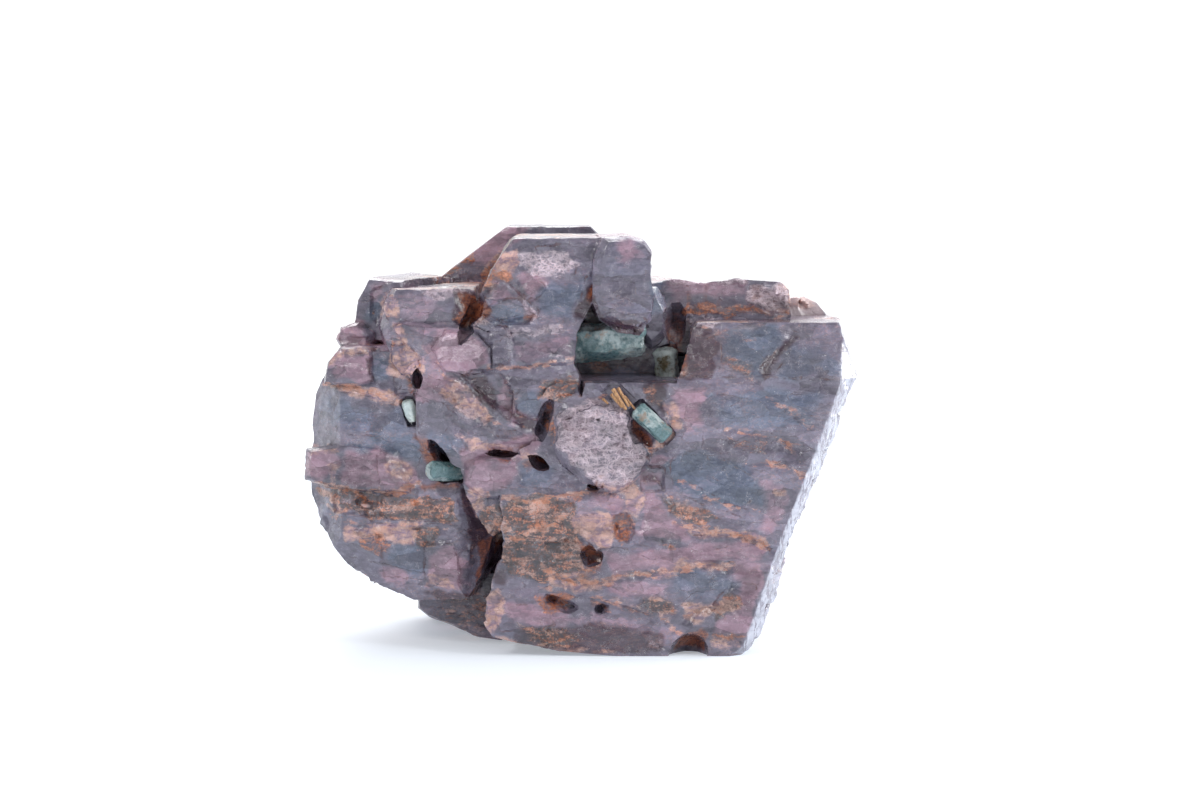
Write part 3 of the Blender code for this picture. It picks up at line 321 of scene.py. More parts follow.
# Ledges on the front, as points (x, z), the rise in millimetres of the side to their left, and its reach.
LEDGES = [
    ([(-12.3, 28.1), (-10.6, 28.9), (-6.2, 29.1), (-0.4, 29.6)], 0.45, 3.0),
    ([(-15.6, 27.6), (-11.8, 25.0), (-8.1, 22.2), (-5.0, 21.9)], -0.4, 2.6),
    ([(-11.8, 28.4), (-9.3, 25.6), (-7.1, 23.8), (-6.5, 26.3), (-8.1, 28.1)], -0.5, 1.6),
    ([(-10.4, 33.1), (-9.3, 34.2), (-8.1, 33.7), (-6.8, 32.2), (-6.8, 30.0), (-8.9, 29.2)], -0.35, 2.0),
    ([(-9.6, 34.7), (-9.3, 36.5), (-7.8, 37.8), (-6.2, 36.5), (-4.0, 34.7), (-4.4, 33.4)], -0.45, 2.4),
    ([(-19.1, 37.0), (-19.6, 34.7), (-19.0, 33.0), (-17.6, 31.3), (-17.3, 29.4)], 0.35, 2.2),
    ([(-26.6, 22.2), (-18.7, 21.9), (-16.8, 21.9)], 0.14, 2.0),
    ([(-25.8, 26.8), (-21.5, 26.0), (-17.8, 25.1)], 0.3, 2.4),
    ([(-6.2, 26.3), (-3.4, 26.9), (-2.2, 27.5)], 0.3, 1.6),
    ([(-14.0, 24.6), (-12.6, 22.4), (-10.8, 20.6), (-9.4, 20.0)], 0.3, 2.4),
    ([(-9.9, 16.6), (-8.8, 14.0), (-8.0, 12.2), (-8.4, 10.6)], 0.4, 2.0),
    ([(8.0, 25.3), (9.0, 24.0), (8.4, 22.0), (7.2, 20.6), (6.8, 19.0)], -0.4, 1.8),
    ([(6.2, 18.4), (7.9, 17.6), (9.2, 15.4), (8.6, 13.4)], -0.3, 2.4),
    ([(-2.8, 20.0), (-1.0, 18.4), (1.6, 17.2), (4.4, 16.6), (6.0, 16.6)], 0.35, 2.0),
    ([(-9.0, 17.2), (-5.6, 16.8), (-2.2, 16.4), (1.2, 16.8)], 0.25, 1.8),
    ([(3.0, 8.0), (6.6, 8.4), (10.0, 8.9), (14.8, 9.3)], -0.22, 2.4),
    ([(-1.4, 6.4), (1.4, 6.0), (4.8, 5.0), (7.4, 3.9), (9.8, 2.6)], 0.35, 2.2),
    ([(9.4, 13.4), (12.6, 12.9), (16.0, 12.2), (19.6, 10.8)], 0.2, 3.0),
    ([(9.8, 2.6), (12.0, 4.4), (14.8, 5.8), (15.6, 7.6)], -0.25, 2.0),
    ([(-24.6, 13.8), (-21.0, 13.2), (-17.6, 12.6), (-14.4, 12.9)], 0.25, 2.0),
    ([(-21.6, 9.2), (-17.4, 8.2), (-14.0, 8.0), (-10.6, 7.4)], 0.25, 2.0),
    ([(10.2, 18.4), (13.0, 16.4), (16.2, 15.0), (18.6, 14.4)], 0.18, 3.0),
    ([(9.8, 28.2), (16.0, 28.2), (22.0, 28.0), (26.6, 27.9)], 0.25, 2.0),
    ([(16.8, 27.6), (18.6, 29.6), (20.8, 32.2), (21.8, 33.4)], 0.2, 2.0),
    ([(-4.2, 15.2), (-2.4, 13.6), (-0.4, 12.2), (0.6, 11.0)], -0.3, 2.0),
    ([(2.6, 15.2), (3.8, 13.0), (5.6, 11.4), (8.6, 10.8)], 0.3, 2.0),
    ([(1.9, 42.2), (0.6, 38.0), (-0.4, 34.4)], 0.3, 1.6),
]

# Flat facets on the front: an outline (x, z), how far the facet's middle is lifted in millimetres,
# and how much that grows for each millimetre along x and along z.
FACETS = [
    ([(-9.6, 34.4), (-8.6, 35.6), (-6.4, 35.9), (-4.6, 34.4), (-5.2, 33.5),
      (-8.6, 33.3)], -0.45, 0.0, 0.25),
    ([(-9.2, 35.8), (-7.8, 37.4), (-6.4, 37.2), (-5.6, 35.8), (-6.4, 36.0), (-8.6, 35.8)], 0.1, -0.1, -0.3),
    ([(-6.6, 38.0), (-4.4, 38.2), (-3.4, 37.0), (-4.4, 35.8), (-6.2, 36.6)], 0.15, 0.2, -0.1),
    ([(-10.9, 33.0), (-9.3, 34.5), (-8.2, 33.9), (-6.9, 32.6), (-7.2, 31.8),
      (-9.2, 31.6)], 0.4, -0.05, -0.1),
    ([(-8.9, 29.4), (-7.0, 29.5), (-6.8, 32.2), (-8.4, 31.6), (-9.0, 31.0)], 0.35, -0.1, 0.0),
    ([(-11.8, 28.3), (-8.0, 28.6), (-6.6, 26.2), (-7.0, 24.6), (-8.4, 25.2)], -0.5, -0.08, 0.1),
    ([(-6.4, 24.6), (-6.3, 26.6), (-3.8, 27.2), (-3.4, 25.6), (-4.4, 23.8)], -0.3, 0.1, 0.1),
    ([(-10.0, 24.2), (-7.4, 22.6), (-4.8, 23.0), (-4.6, 21.6), (-9.8, 21.4)], 0.15, 0.05, -0.1),
    ([(-21.2, 36.6), (-19.5, 37.0), (-19.3, 33.4), (-20.6, 32.8), (-21.4, 34.0)], -0.25, 0.2, 0.0),
    ([(-24.6, 31.6), (-21.6, 31.8), (-20.6, 30.6), (-25.2, 30.0)], -0.15, 0.0, -0.2),
    ([(-18.8, 28.0), (-16.8, 28.4), (-16.6, 26.2), (-18.6, 26.0)], -0.3, 0.0, 0.1),
    ([(-13.8, 28.2), (-12.0, 27.9), (-9.8, 25.6), (-8.8, 24.0), (-10.6, 23.0),
      (-13.6, 25.6)], 0.25, 0.1, -0.05),
    ([(-16.4, 25.4), (-13.8, 25.6), (-11.4, 23.2), (-11.4, 20.8), (-13.4, 20.2),
      (-16.2, 21.4)], -0.1, -0.05, 0.0),
    ([(6.2, 19.2), (8.6, 19.0), (8.4, 16.8), (6.2, 16.6)], -0.25, -0.1, 0.1),
    ([(6.4, 20.2), (8.0, 21.0), (9.6, 20.4), (8.6, 19.2), (6.8, 19.4)], 0.25, 0.0, -0.2),
    ([(0.0, 14.2), (2.4, 14.6), (3.4, 13.0), (3.2, 11.2), (1.8, 11.0), (0.2, 12.0)], 0.2, 0.0, -0.1),
    ([(3.2, 14.2), (4.6, 14.6), (5.6, 12.6), (4.8, 11.5), (3.6, 12.2)], -0.55, 0.1, 0.1),
    ([(9.0, 12.4), (15.2, 12.2), (19.2, 10.8), (18.6, 9.8), (14.8, 9.6), (9.2, 9.6)], 0.12, 0.0, -0.08),
    ([(15.2, 7.4), (17.8, 7.4), (17.0, 3.0), (15.2, 4.8)], -0.2, 0.15, 0.0),
    ([(12.8, 4.4), (15.2, 5.4), (15.3, 7.4), (13.4, 5.4)], -0.25, 0.0, 0.1),
    ([(9.0, 19.6), (13.0, 20.6), (17.6, 18.0), (17.6, 13.6), (12.8, 15.2), (9.6, 16.6)], 0.08, 0.02, -0.02),
    ([(-8.2, 9.6), (-6.2, 9.4), (-5.6, 6.8), (-9.2, 6.8)], 0.1, -0.1, 0.1),
    ([(-15.6, 11.0), (-12.6, 11.2), (-12.2, 7.0), (-15.6, 6.4)], 0.25, -0.04, 0.05),
    ([(-20.2, 11.2), (-15.7, 11.0), (-15.7, 7.2), (-20.0, 7.4)], 0.05, 0.05, 0.0),
    ([(-25.2, 16.0), (-20.6, 15.8), (-20.8, 13.8), (-25.0, 14.0)], -0.25, 0.0, 0.12),
    ([(-20.2, 15.7), (-13.2, 15.6), (-13.0, 13.4), (-17.4, 13.2), (-20.2, 13.8)], -0.2, 0.0, 0.08),
    ([(-20.6, 20.0), (-18.8, 20.4), (-16.4, 18.6), (-16.2, 17.2), (-20.2, 17.0)], 0.1, -0.15, 0.0),
    ([(9.9, 33.2), (14.2, 33.4), (14.0, 28.2), (9.8, 28.2)], -0.1, 0.06, 0.0),
    ([(18.2, 28.4), (19.4, 28.3), (22.2, 32.2), (21.0, 33.0)], -0.12, 0.1, 0.0),
    ([(10.8, 33.7), (13.9, 33.7), (13.4, 32.9), (11.4, 32.7)], -0.1, 0.0, -0.5),
    ([(1.4, 34.0), (3.2, 34.8), (6.4, 34.2), (6.9, 33.0), (5.4, 32.2), (2.6, 32.6)], -0.2, 0.0, 0.4),
    ([(-4.4, 41.2), (-0.8, 41.4), (-0.4, 38.4), (-2.6, 38.0), (-4.4, 39.0)], -0.12, 0.05, -0.05),
    ([(12.4, 22.8), (15.0, 22.2), (14.2, 20.6), (12.2, 21.2)], -0.15, 0.1, 0.1),
    ([(20.0, 22.0), (22.6, 21.4), (21.6, 18.8), (19.2, 19.6)], -0.12, 0.05, -0.05),
    ([(-8.6, 4.6), (-4.2, 5.6), (-2.4, 3.2), (-8.2, 2.4)], 0.15, -0.05, -0.05),
]


def linear(red, green, blue):
    """A colour as seen on screen, from 0 to 255, as the scene-linear colour that a shader takes."""
    shares = (channel / 255.0 for channel in (red, green, blue))
    return (*(c / 12.92 if c <= 0.04045 else ((c + 0.055) / 1.055) ** 2.4 for c in shares), 1.0)


def colour_property(name, description, red, green, blue):
    return FloatVectorProperty(
        name=name, description=description, default=linear(red, green, blue),
        subtype="COLOR", size=4, min=0.0, max=1.0,
    )


class SpinelSettings(PropertyGroup):
    cell: FloatProperty(
        name="Cell", description="Side of the mesh cells that the surface is grown on",
        default=0.27 * MM, unit="LENGTH",
    )
    triangles: IntProperty(name="Triangles", description="Size of the finished mesh", default=192000)
    plate_rise: FloatProperty(
        name="Plate Rise", description="Height by which growth plates stand above each other",
        default=0.26 * MM, unit="LENGTH",
    )
    roughness_height: FloatProperty(
        name="Broken Height", description="Height of the grain where the crystal is broken or stained",
        default=0.16 * MM, unit="LENGTH",
    )
    slate: colour_property("Slate", "Clean crystal faces", 103, 97, 113)
    blue: colour_property("Blue Slate", "Bluish crystal faces", 87, 94, 114)
    mauve: colour_property("Mauve", "Lilac crystal faces", 139, 112, 127)
    wine: colour_property("Wine", "Clear dark red crystal", 54, 33, 46)
    salmon: colour_property("Salmon", "Pink and tan patches", 186, 146, 132)
    rust: colour_property("Rust", "Iron stains", 168, 95, 56)
    teal: colour_property("Teal", "Dark mottled patches", 80, 75, 80)
    frost: colour_property("Frost", "Bruised and frosty crystal", 206, 188, 198)
    # Depth is the colour of painted shade in cracks, seams and hollows, and of the murk under the frost.
    depth: colour_property("Depth", "Colour seen in cracks and hollows", 88, 44, 38)


class ApatiteSettings(PropertyGroup):
    blue: colour_property("Blue Green", "Body of the apatite crystals", 96, 124, 128)
    pale: colour_property("Pale", "Milky apatite", 182, 194, 194)
    olive: colour_property("Olive", "Yellow-green apatite", 104, 94, 66)
    bruise: FloatProperty(
        name="Bruise", description="Depth of the dents in an apatite crystal",
        default=0.12 * MM, unit="LENGTH",
    )


class MicaSettings(PropertyGroup):
    straw: colour_property("Straw", "Body of the splinters", 214, 168, 118)


class StageSettings(PropertyGroup):
    lens: FloatProperty(name="Lens", description="Focal length in millimetres", default=100.0)
    distance: FloatProperty(
        name="Distance", description="From the camera to the cluster", default=350.3 * MM, unit="LENGTH"
    )
    elevation: FloatProperty(
        name="Elevation", description="Height of the camera as an angle",
        default=math.radians(5.0), subtype="ANGLE",
    )
    surround: FloatProperty(name="Surround", description="Brightness of the white surround", default=1.3)
    seed: IntProperty(name="Seed", description="Seed of all that is random", default=5)


class Wire:
    """A shader socket that can be used in sums."""

    def __init__(self, tree, socket):
        self.tree = tree
        self.socket = socket

    def sum_with(self, operation, first, second):
        made = self.tree.nodes.new("ShaderNodeMath")
        made.operation = operation
        for socket, value in zip(made.inputs, (first, second)):
            if isinstance(value, Wire):
                self.tree.links.new(value.socket, socket)
            else:
                socket.default_value = value
        return Wire(self.tree, made.outputs[0])

    def __add__(self, other):
        return self.sum_with("ADD", self, other)

    __radd__ = __add__

    def __sub__(self, other):
        return self.sum_with("SUBTRACT", self, other)

    def __rsub__(self, other):
        return self.sum_with("SUBTRACT", other, self)

    def __mul__(self, other):
        return self.sum_with("MULTIPLY", self, other)

    __rmul__ = __mul__

    def __abs__(self):
        return self.sum_with("ABSOLUTE", self, 0.0)

    def at_least(self, other):
        return self.sum_with("MAXIMUM", self, other)

    def at_most(self, other):
        return self.sum_with("MINIMUM", self, other)


class Finish:
    """A material under construction."""

    def __init__(self, name):
        self.material = bpy.data.materials.new(name)
        self.material.use_nodes = True
        self.tree = self.material.node_tree
        self.surface = self.tree.nodes["Principled BSDF"]
        place = self.node("ShaderNodeTexCoord", out="Object")
        self.mm = self.node("ShaderNodeVectorMath", {"operation": "SCALE"}, {0: place, "Scale": 1.0 / MM})

    def feed(self, socket, value):
        if isinstance(value, Wire):
            self.tree.links.new(value.socket, socket)
        else:
            socket.default_value = value

    def node(self, kind, settings=None, sockets=None, out=0):
        """Adds a node: its settings first, then the value or link of each socket."""
        made = self.tree.nodes.new(kind)
        for name, value in (settings or {}).items():
            setattr(made, name, value)
        for name, value in (sockets or {}).items():
            self.feed(made.inputs[name], value)
        return Wire(self.tree, made.outputs[out])

    def mark(self, name):
        return self.node("ShaderNodeAttribute", {"attribute_name": name}, out="Fac")

    def mapped(self, turn=(0.0, 0.0, 0.0), scale=(1.0, 1.0, 1.0)):
        turned = tuple(math.radians(angle) for angle in turn)
        return self.node("ShaderNodeMapping", {}, {"Vector": self.mm, "Rotation": turned, "Scale": scale})

    def noise(self, scale, detail=4.0, roughness=0.55, where=None, distortion=0.0):
        sockets = {
            "Vector": where or self.mm, "Scale": scale, "Detail": detail, "Roughness": roughness,
            "Distortion": distortion,
        }
        return self.node("ShaderNodeTexNoise", {}, sockets)

    def cells(self, scale, where=None, out="Distance"):
        return self.node("ShaderNodeTexVoronoi", {}, {"Vector": where or self.mm, "Scale": scale}, out)

    def ramp(self, value, low, high, start=0.0, end=1.0):
        """Runs smoothly from start to end as the value goes from low to high."""
        sockets = {"Value": value, "From Min": low, "From Max": high, "To Min": start, "To Max": end}
        return self.node("ShaderNodeMapRange", {"interpolation_type": "SMOOTHSTEP"}, sockets)

    def mix(self, share, first, second):
        return self.node("ShaderNodeMix", {"data_type": "RGBA"}, {0: share, 6: first, 7: second}, out=2)

    def shade(self, colour, share):
        """A colour made lighter or darker by a share."""
        grey = self.node("ShaderNodeCombineXYZ", {}, {"X": share, "Y": share, "Z": share})
        return self.node("ShaderNodeVectorMath", {"operation": "MULTIPLY"}, {0: colour, 1: grey})

    def chips(self, scale, where):
        """Flat chips that lean every way: how high a place stands on its chip, and the chip's own tint."""
        place = self.cells(scale, where, "Position")
        colour = Wire(self.tree, place.socket.node.outputs["Color"])
        lean = self.node("ShaderNodeVectorMath", {"operation": "SUBTRACT"}, {0: colour, 1: (0.5, 0.5, 0.5)})
        away = self.node("ShaderNodeVectorMath", {"operation": "SUBTRACT"}, {0: where, 1: place})
        dot = {"operation": "DOT_PRODUCT"}
        height = self.node("ShaderNodeVectorMath", dot, {0: lean, 1: away}, out="Value")
        return height, self.node("ShaderNodeSeparateColor", {}, {"Color": colour}) - 0.5

    def bump(self, height, distance, strength=1.0):
        sockets = {"Height": height, "Distance": distance, "Strength": strength}
        return self.node("ShaderNodeBump", {}, sockets)

    def set(self, **values):
        """Sets the surface's own sockets, named with underscores."""
        for name, value in values.items():
            self.feed(self.surface.inputs[name.replace("_", " ")], value)


def hashed(cells, seed):
    """A repeatable number from 0 to 1 for each whole-numbered cell."""
    x, y, z = (cells[..., axis].astype(np.uint32) for axis in range(3))
    mixed = x * np.uint32(2376512323) ^ y * np.uint32(3625334849) ^ z * np.uint32(3407524639)
    mixed ^= np.uint32((seed * 2654435761) % 2**32)
    for shift, factor in ((15, 739982445), (12, 695872825)):
        mixed ^= mixed >> np.uint32(shift)
        mixed *= np.uint32(factor)
    mixed ^= mixed >> np.uint32(15)
    return mixed / 2.0**32


def noise(points, size, seed):
    """Smooth noise from -1 to 1, with lumps about this size."""
    place = points / size
    base = np.floor(place).astype(np.int64)
    part = place - base
    part = part * part * (3.0 - 2.0 * part)
    total = np.zeros(len(points))
    for corner in np.ndindex(2, 2, 2):
        weight = np.prod(np.where(corner, part, 1.0 - part), axis=1)
        total += weight * hashed(base + np.array(corner), seed)
    return total * 2.0 - 1.0


def cloudy(points, size, seed, octaves=4):
    """Noise with finer and fainter lumps added, each layer turned so that no grid shows."""
    turn = np.array(Euler((0.6, 0.9, 0.4)).to_matrix())
    total = np.zeros(len(points))
    strength = 1.0
    for octave in range(octaves):
        points = points @ turn
        total += strength * noise(points, size * 0.5**octave, seed + octave)
        strength *= 0.5
    return total


def shards(points, size, seed):
    """Parts space into octahedral shards: a number from 0 to 1 for each shard, and a slope across it."""
    place = points / size
    base = np.floor(place).astype(np.int64)
    nearest = np.full(len(points), 9.0)
    owner = np.zeros((len(points), 3), dtype=np.int64)
    away = np.zeros((len(points), 3))
    for offset in np.ndindex(3, 3, 3):
        cell = base + np.array(offset) - 1
        centre = cell + np.stack([0.1 + 0.8 * hashed(cell, seed + axis) for axis in range(3)], axis=1)
        reach = np.abs((place - centre) @ LATTICE.T).max(axis=1)
        closer = reach < nearest
        nearest = np.where(closer, reach, nearest)
        owner = np.where(closer[:, None], cell, owner)
        away = np.where(closer[:, None], place - centre, away)
    lean = np.stack([hashed(owner, seed + 4 + axis) - 0.5 for axis in range(3)], axis=1)
    return hashed(owner, seed + 3), np.einsum("ij,ij->i", away, lean)


def smoothstep(values, low, high):
    share = np.clip((values - low) / (high - low), 0.0, 1.0)
    return share * share * (3.0 - 2.0 * share)


def reach_inside(flat, outline):
    """How far each flat point lies inside an outline, in millimetres, and below zero outside it."""
    outline = np.array(outline)
    nearest = np.full(len(flat), 99.0)
    inside = np.zeros(len(flat), dtype=bool)
    for start, end in zip(outline, np.roll(outline, -1, axis=0)):
        way = end - start
        along = np.clip((flat - start) @ way / (way @ way), 0.0, 1.0)
        nearest = np.minimum(nearest, np.linalg.norm(flat - start - along[:, None] * way, axis=1))
        if way[1]:
            crossing = start[0] + (flat[:, 1] - start[1]) / way[1] * way[0]
            inside ^= ((flat[:, 1] > start[1]) != (flat[:, 1] > end[1])) & (flat[:, 0] < crossing)
    return np.where(inside, nearest, -nearest)


def painted(points, zones, seed):
    """How strongly each point lies in any of these zones, with soft and uneven borders."""
    flat = points[:, [0, 2]].copy()
    flat[:, 0] += 0.85 * cloudy(points, 2.8, seed)
    flat[:, 1] += 0.55 * cloudy(points, 2.0, seed + 20)
    covered = np.zeros(len(points))
    for strength, outline in zones:
        low, high = np.min(outline, axis=0) - ZONE_BORDER, np.max(outline, axis=0) + ZONE_BORDER
        near = np.flatnonzero(np.all((flat > low) & (flat < high), axis=1))
        reach = strength * smoothstep(reach_inside(flat[near], outline), -ZONE_BORDER, ZONE_BORDER)
        covered[near] = np.maximum(covered[near], reach)
    return covered


def facing_front(points, normals):
    """How fully each point belongs to the front: it faces forward, and lies ahead or high up."""
    ahead = smoothstep(points[:, 1], -5.0, -10.0)
    over = smoothstep(points[:, 2], 33.4, 34.2) * smoothstep(points[:, 1], 12.0, 9.0)
    return np.maximum(ahead, over) * smoothstep(-normals[:, 1], 0.0, 0.5)


def vein_marks(points, seed):
    """How strongly each point lies on a vein."""
    flat = np.stack([points[:, 0] + 0.35 * cloudy(points, 1.6, seed), points[:, 2]], axis=1)
    flat[:, 1] += 0.3 * cloudy(points, 1.3, seed + 30)
    marked = np.zeros(len(points))
    for route, strength in VEINS:
        for start, end in zip(route, route[1:]):
            start, end = np.array(start), np.array(end)
            along = np.clip(((flat - start) @ (end - start)) / ((end - start) @ (end - start)), 0.0, 1.0)
            away = np.linalg.norm(flat - start - along[:, None] * (end - start), axis=1)
            marked = np.maximum(marked, strength * smoothstep(away, 0.95, 0.05))
    return marked


def ledge_rise(points, seed):
    """How far ledges and facets lift each point, and how far the nearest seam is, in millimetres."""
    flat = np.stack([points[:, 0] + 0.12 * cloudy(points, 1.4, seed), points[:, 2]], axis=1)
    flat[:, 1] += 0.12 * cloudy(points, 1.2, seed + 33)
    lifted = np.zeros(len(points))
    seam = np.full(len(points), SEAM_REACH)
    for route, rise, reach in LEDGES:
        route = np.array(route)
        nearest = np.full(len(points), 99.0)
        side = np.zeros(len(points))
        passed = np.zeros(len(points))
        travelled = 0.0
        for start, end in zip(route, route[1:]):
            way = end - start
            length = np.hypot(*way)
            along = np.clip((flat - start) @ way / length**2, 0.0, 1.0)
            offset = flat - start - along[:, None] * way
            away = np.hypot(offset[:, 0], offset[:, 1])
            closer = away < nearest
            nearest = np.where(closer, away, nearest)
            side = np.where(closer, np.sign(way[0] * offset[:, 1] - way[1] * offset[:, 0]), side)
            passed = np.where(closer, travelled + along * length, passed)
            travelled += length
        strength = smoothstep(np.minimum(passed, travelled - passed), 0.0, 1.2)
        signed = nearest * side * math.copysign(1.0, rise)
        fading = np.exp(-np.maximum(signed, 0.0) / reach)
        lifted += strength * abs(rise) * smoothstep(signed, -STEP_HALF, STEP_HALF) * fading
        seam = np.minimum(seam, nearest + (1.0 - strength))
    for outline, lift, lean_x, lean_z in FACETS:
        low, high = np.min(outline, axis=0) - SEAM_REACH, np.max(outline, axis=0) + SEAM_REACH
        near = np.flatnonzero(np.all((flat > low) & (flat < high), axis=1))
        away = flat[near] - np.mean(outline, axis=0)
        reach = reach_inside(flat[near], outline)
        height = lift + lean_x * away[:, 0] + lean_z * away[:, 1]
        lifted[near] += height * smoothstep(reach, -STEP_HALF, STEP_HALF)
        seam[near] = np.minimum(seam[near], np.abs(reach))
    return lifted, seam


def merged_copy(node):
    """A bmesh of a solid, its loose triangles joined."""
    shape = bmesh.new()
    shape.from_mesh(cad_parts[node].data)
    bmesh.ops.remove_doubles(shape, verts=shape.verts, dist=0.0005 * MM)
    return shape


def link_piece(name, shape):
    mesh = bpy.data.meshes.new(name)
    shape.to_mesh(mesh)
    shape.free()
    piece = bpy.data.objects.new(name, mesh)
    bpy.context.scene.collection.objects.link(piece)
    return piece


def applied(piece):
    """Keeps what the piece's modifiers make of it as its own mesh."""
    evaluated = piece.evaluated_get(bpy.context.evaluated_depsgraph_get())
    mesh = bpy.data.meshes.new_from_object(evaluated)
    piece.modifiers.clear()
    piece.data = mesh


def even_cells(piece, cell):
    """Remeshes a piece into even cells that keep its sharp edges, and mends where faces pinch."""
    step = piece.modifiers.new("cells", "REMESH")
    step.mode = "SHARP"
    step.octree_depth = 8
    step.scale = max(piece.dimensions) / (cell * 2**step.octree_depth)
    step.use_remove_disconnected = True
    applied(piece)
    shape = bmesh.new()
    shape.from_mesh(piece.data)
    for _ in range(4):
        pinched = [edge for edge in shape.edges if len(edge.link_faces) != 2]
        if not pinched:
            break
        around = list({corner for edge in pinched for corner in edge.verts})
        bmesh.ops.delete(shape, geom=around, context="VERTS")
        bmesh.ops.holes_fill(shape, edges=[edge for edge in shape.edges if edge.is_boundary])
    bmesh.ops.triangulate(shape, faces=[face for face in shape.faces if len(face.verts) > 4])
    bmesh.ops.recalc_face_normals(shape, faces=shape.faces)
    shape.to_mesh(piece.data)
    shape.free()


def thinned(piece, triangles):
    """Leaves about this many triangles, most of them where the surface bends most."""
    step = piece.modifiers.new("thinned", "DECIMATE")
    faces = sum(len(face.vertices) - 2 for face in piece.data.polygons)
    step.ratio = min(1.0, triangles / faces)
    applied(piece)


def cleared(piece):
    """Takes away the points that no face uses, which would spoil the piece's box."""
    shape = bmesh.new()
    shape.from_mesh(piece.data)
    loose = [corner for corner in shape.verts if not corner.link_faces]
    bmesh.ops.delete(shape, geom=loose, context="VERTS")
    shape.to_mesh(piece.data)
    shape.free()


def corners_of(mesh):
    found = np.empty(len(mesh.vertices) * 3)
    mesh.vertices.foreach_get("co", found)
    return found.reshape(-1, 3)


def normals_of(mesh):
    found = np.empty(len(mesh.vertices) * 3)
    mesh.vertex_normals.foreach_get("vector", found)
    return found.reshape(-1, 3)


def edges_of(mesh):
    found = np.empty(len(mesh.edges) * 2, dtype=np.int64)
    mesh.edges.foreach_get("vertices", found)
    return found.reshape(-1, 2)


def spread(values, edges, rounds):
    """Averages values with their neighbours' along the mesh's edges."""
    shape = (-1,) + (1,) * (values.ndim - 1)
    count = np.bincount(edges.ravel(), minlength=len(values)).reshape(shape)
    for _ in range(rounds):
        total = np.zeros_like(values)
        np.add.at(total, edges[:, 0], values[edges[:, 1]])
        np.add.at(total, edges[:, 1], values[edges[:, 0]])
        values = 0.5 * values + 0.5 * total / count
    return values


def bulge(places, normals, edges, rounds):
    """How far each point stands out from its surroundings: above zero on ridges, below in hollows."""
    return np.einsum("ij,ij->i", places - spread(places, edges, rounds), normals)


def store(mesh, name, values):
    attribute = mesh.attributes.new(name, "FLOAT", "POINT")
    attribute.data.foreach_set("value", values.astype(np.float32))


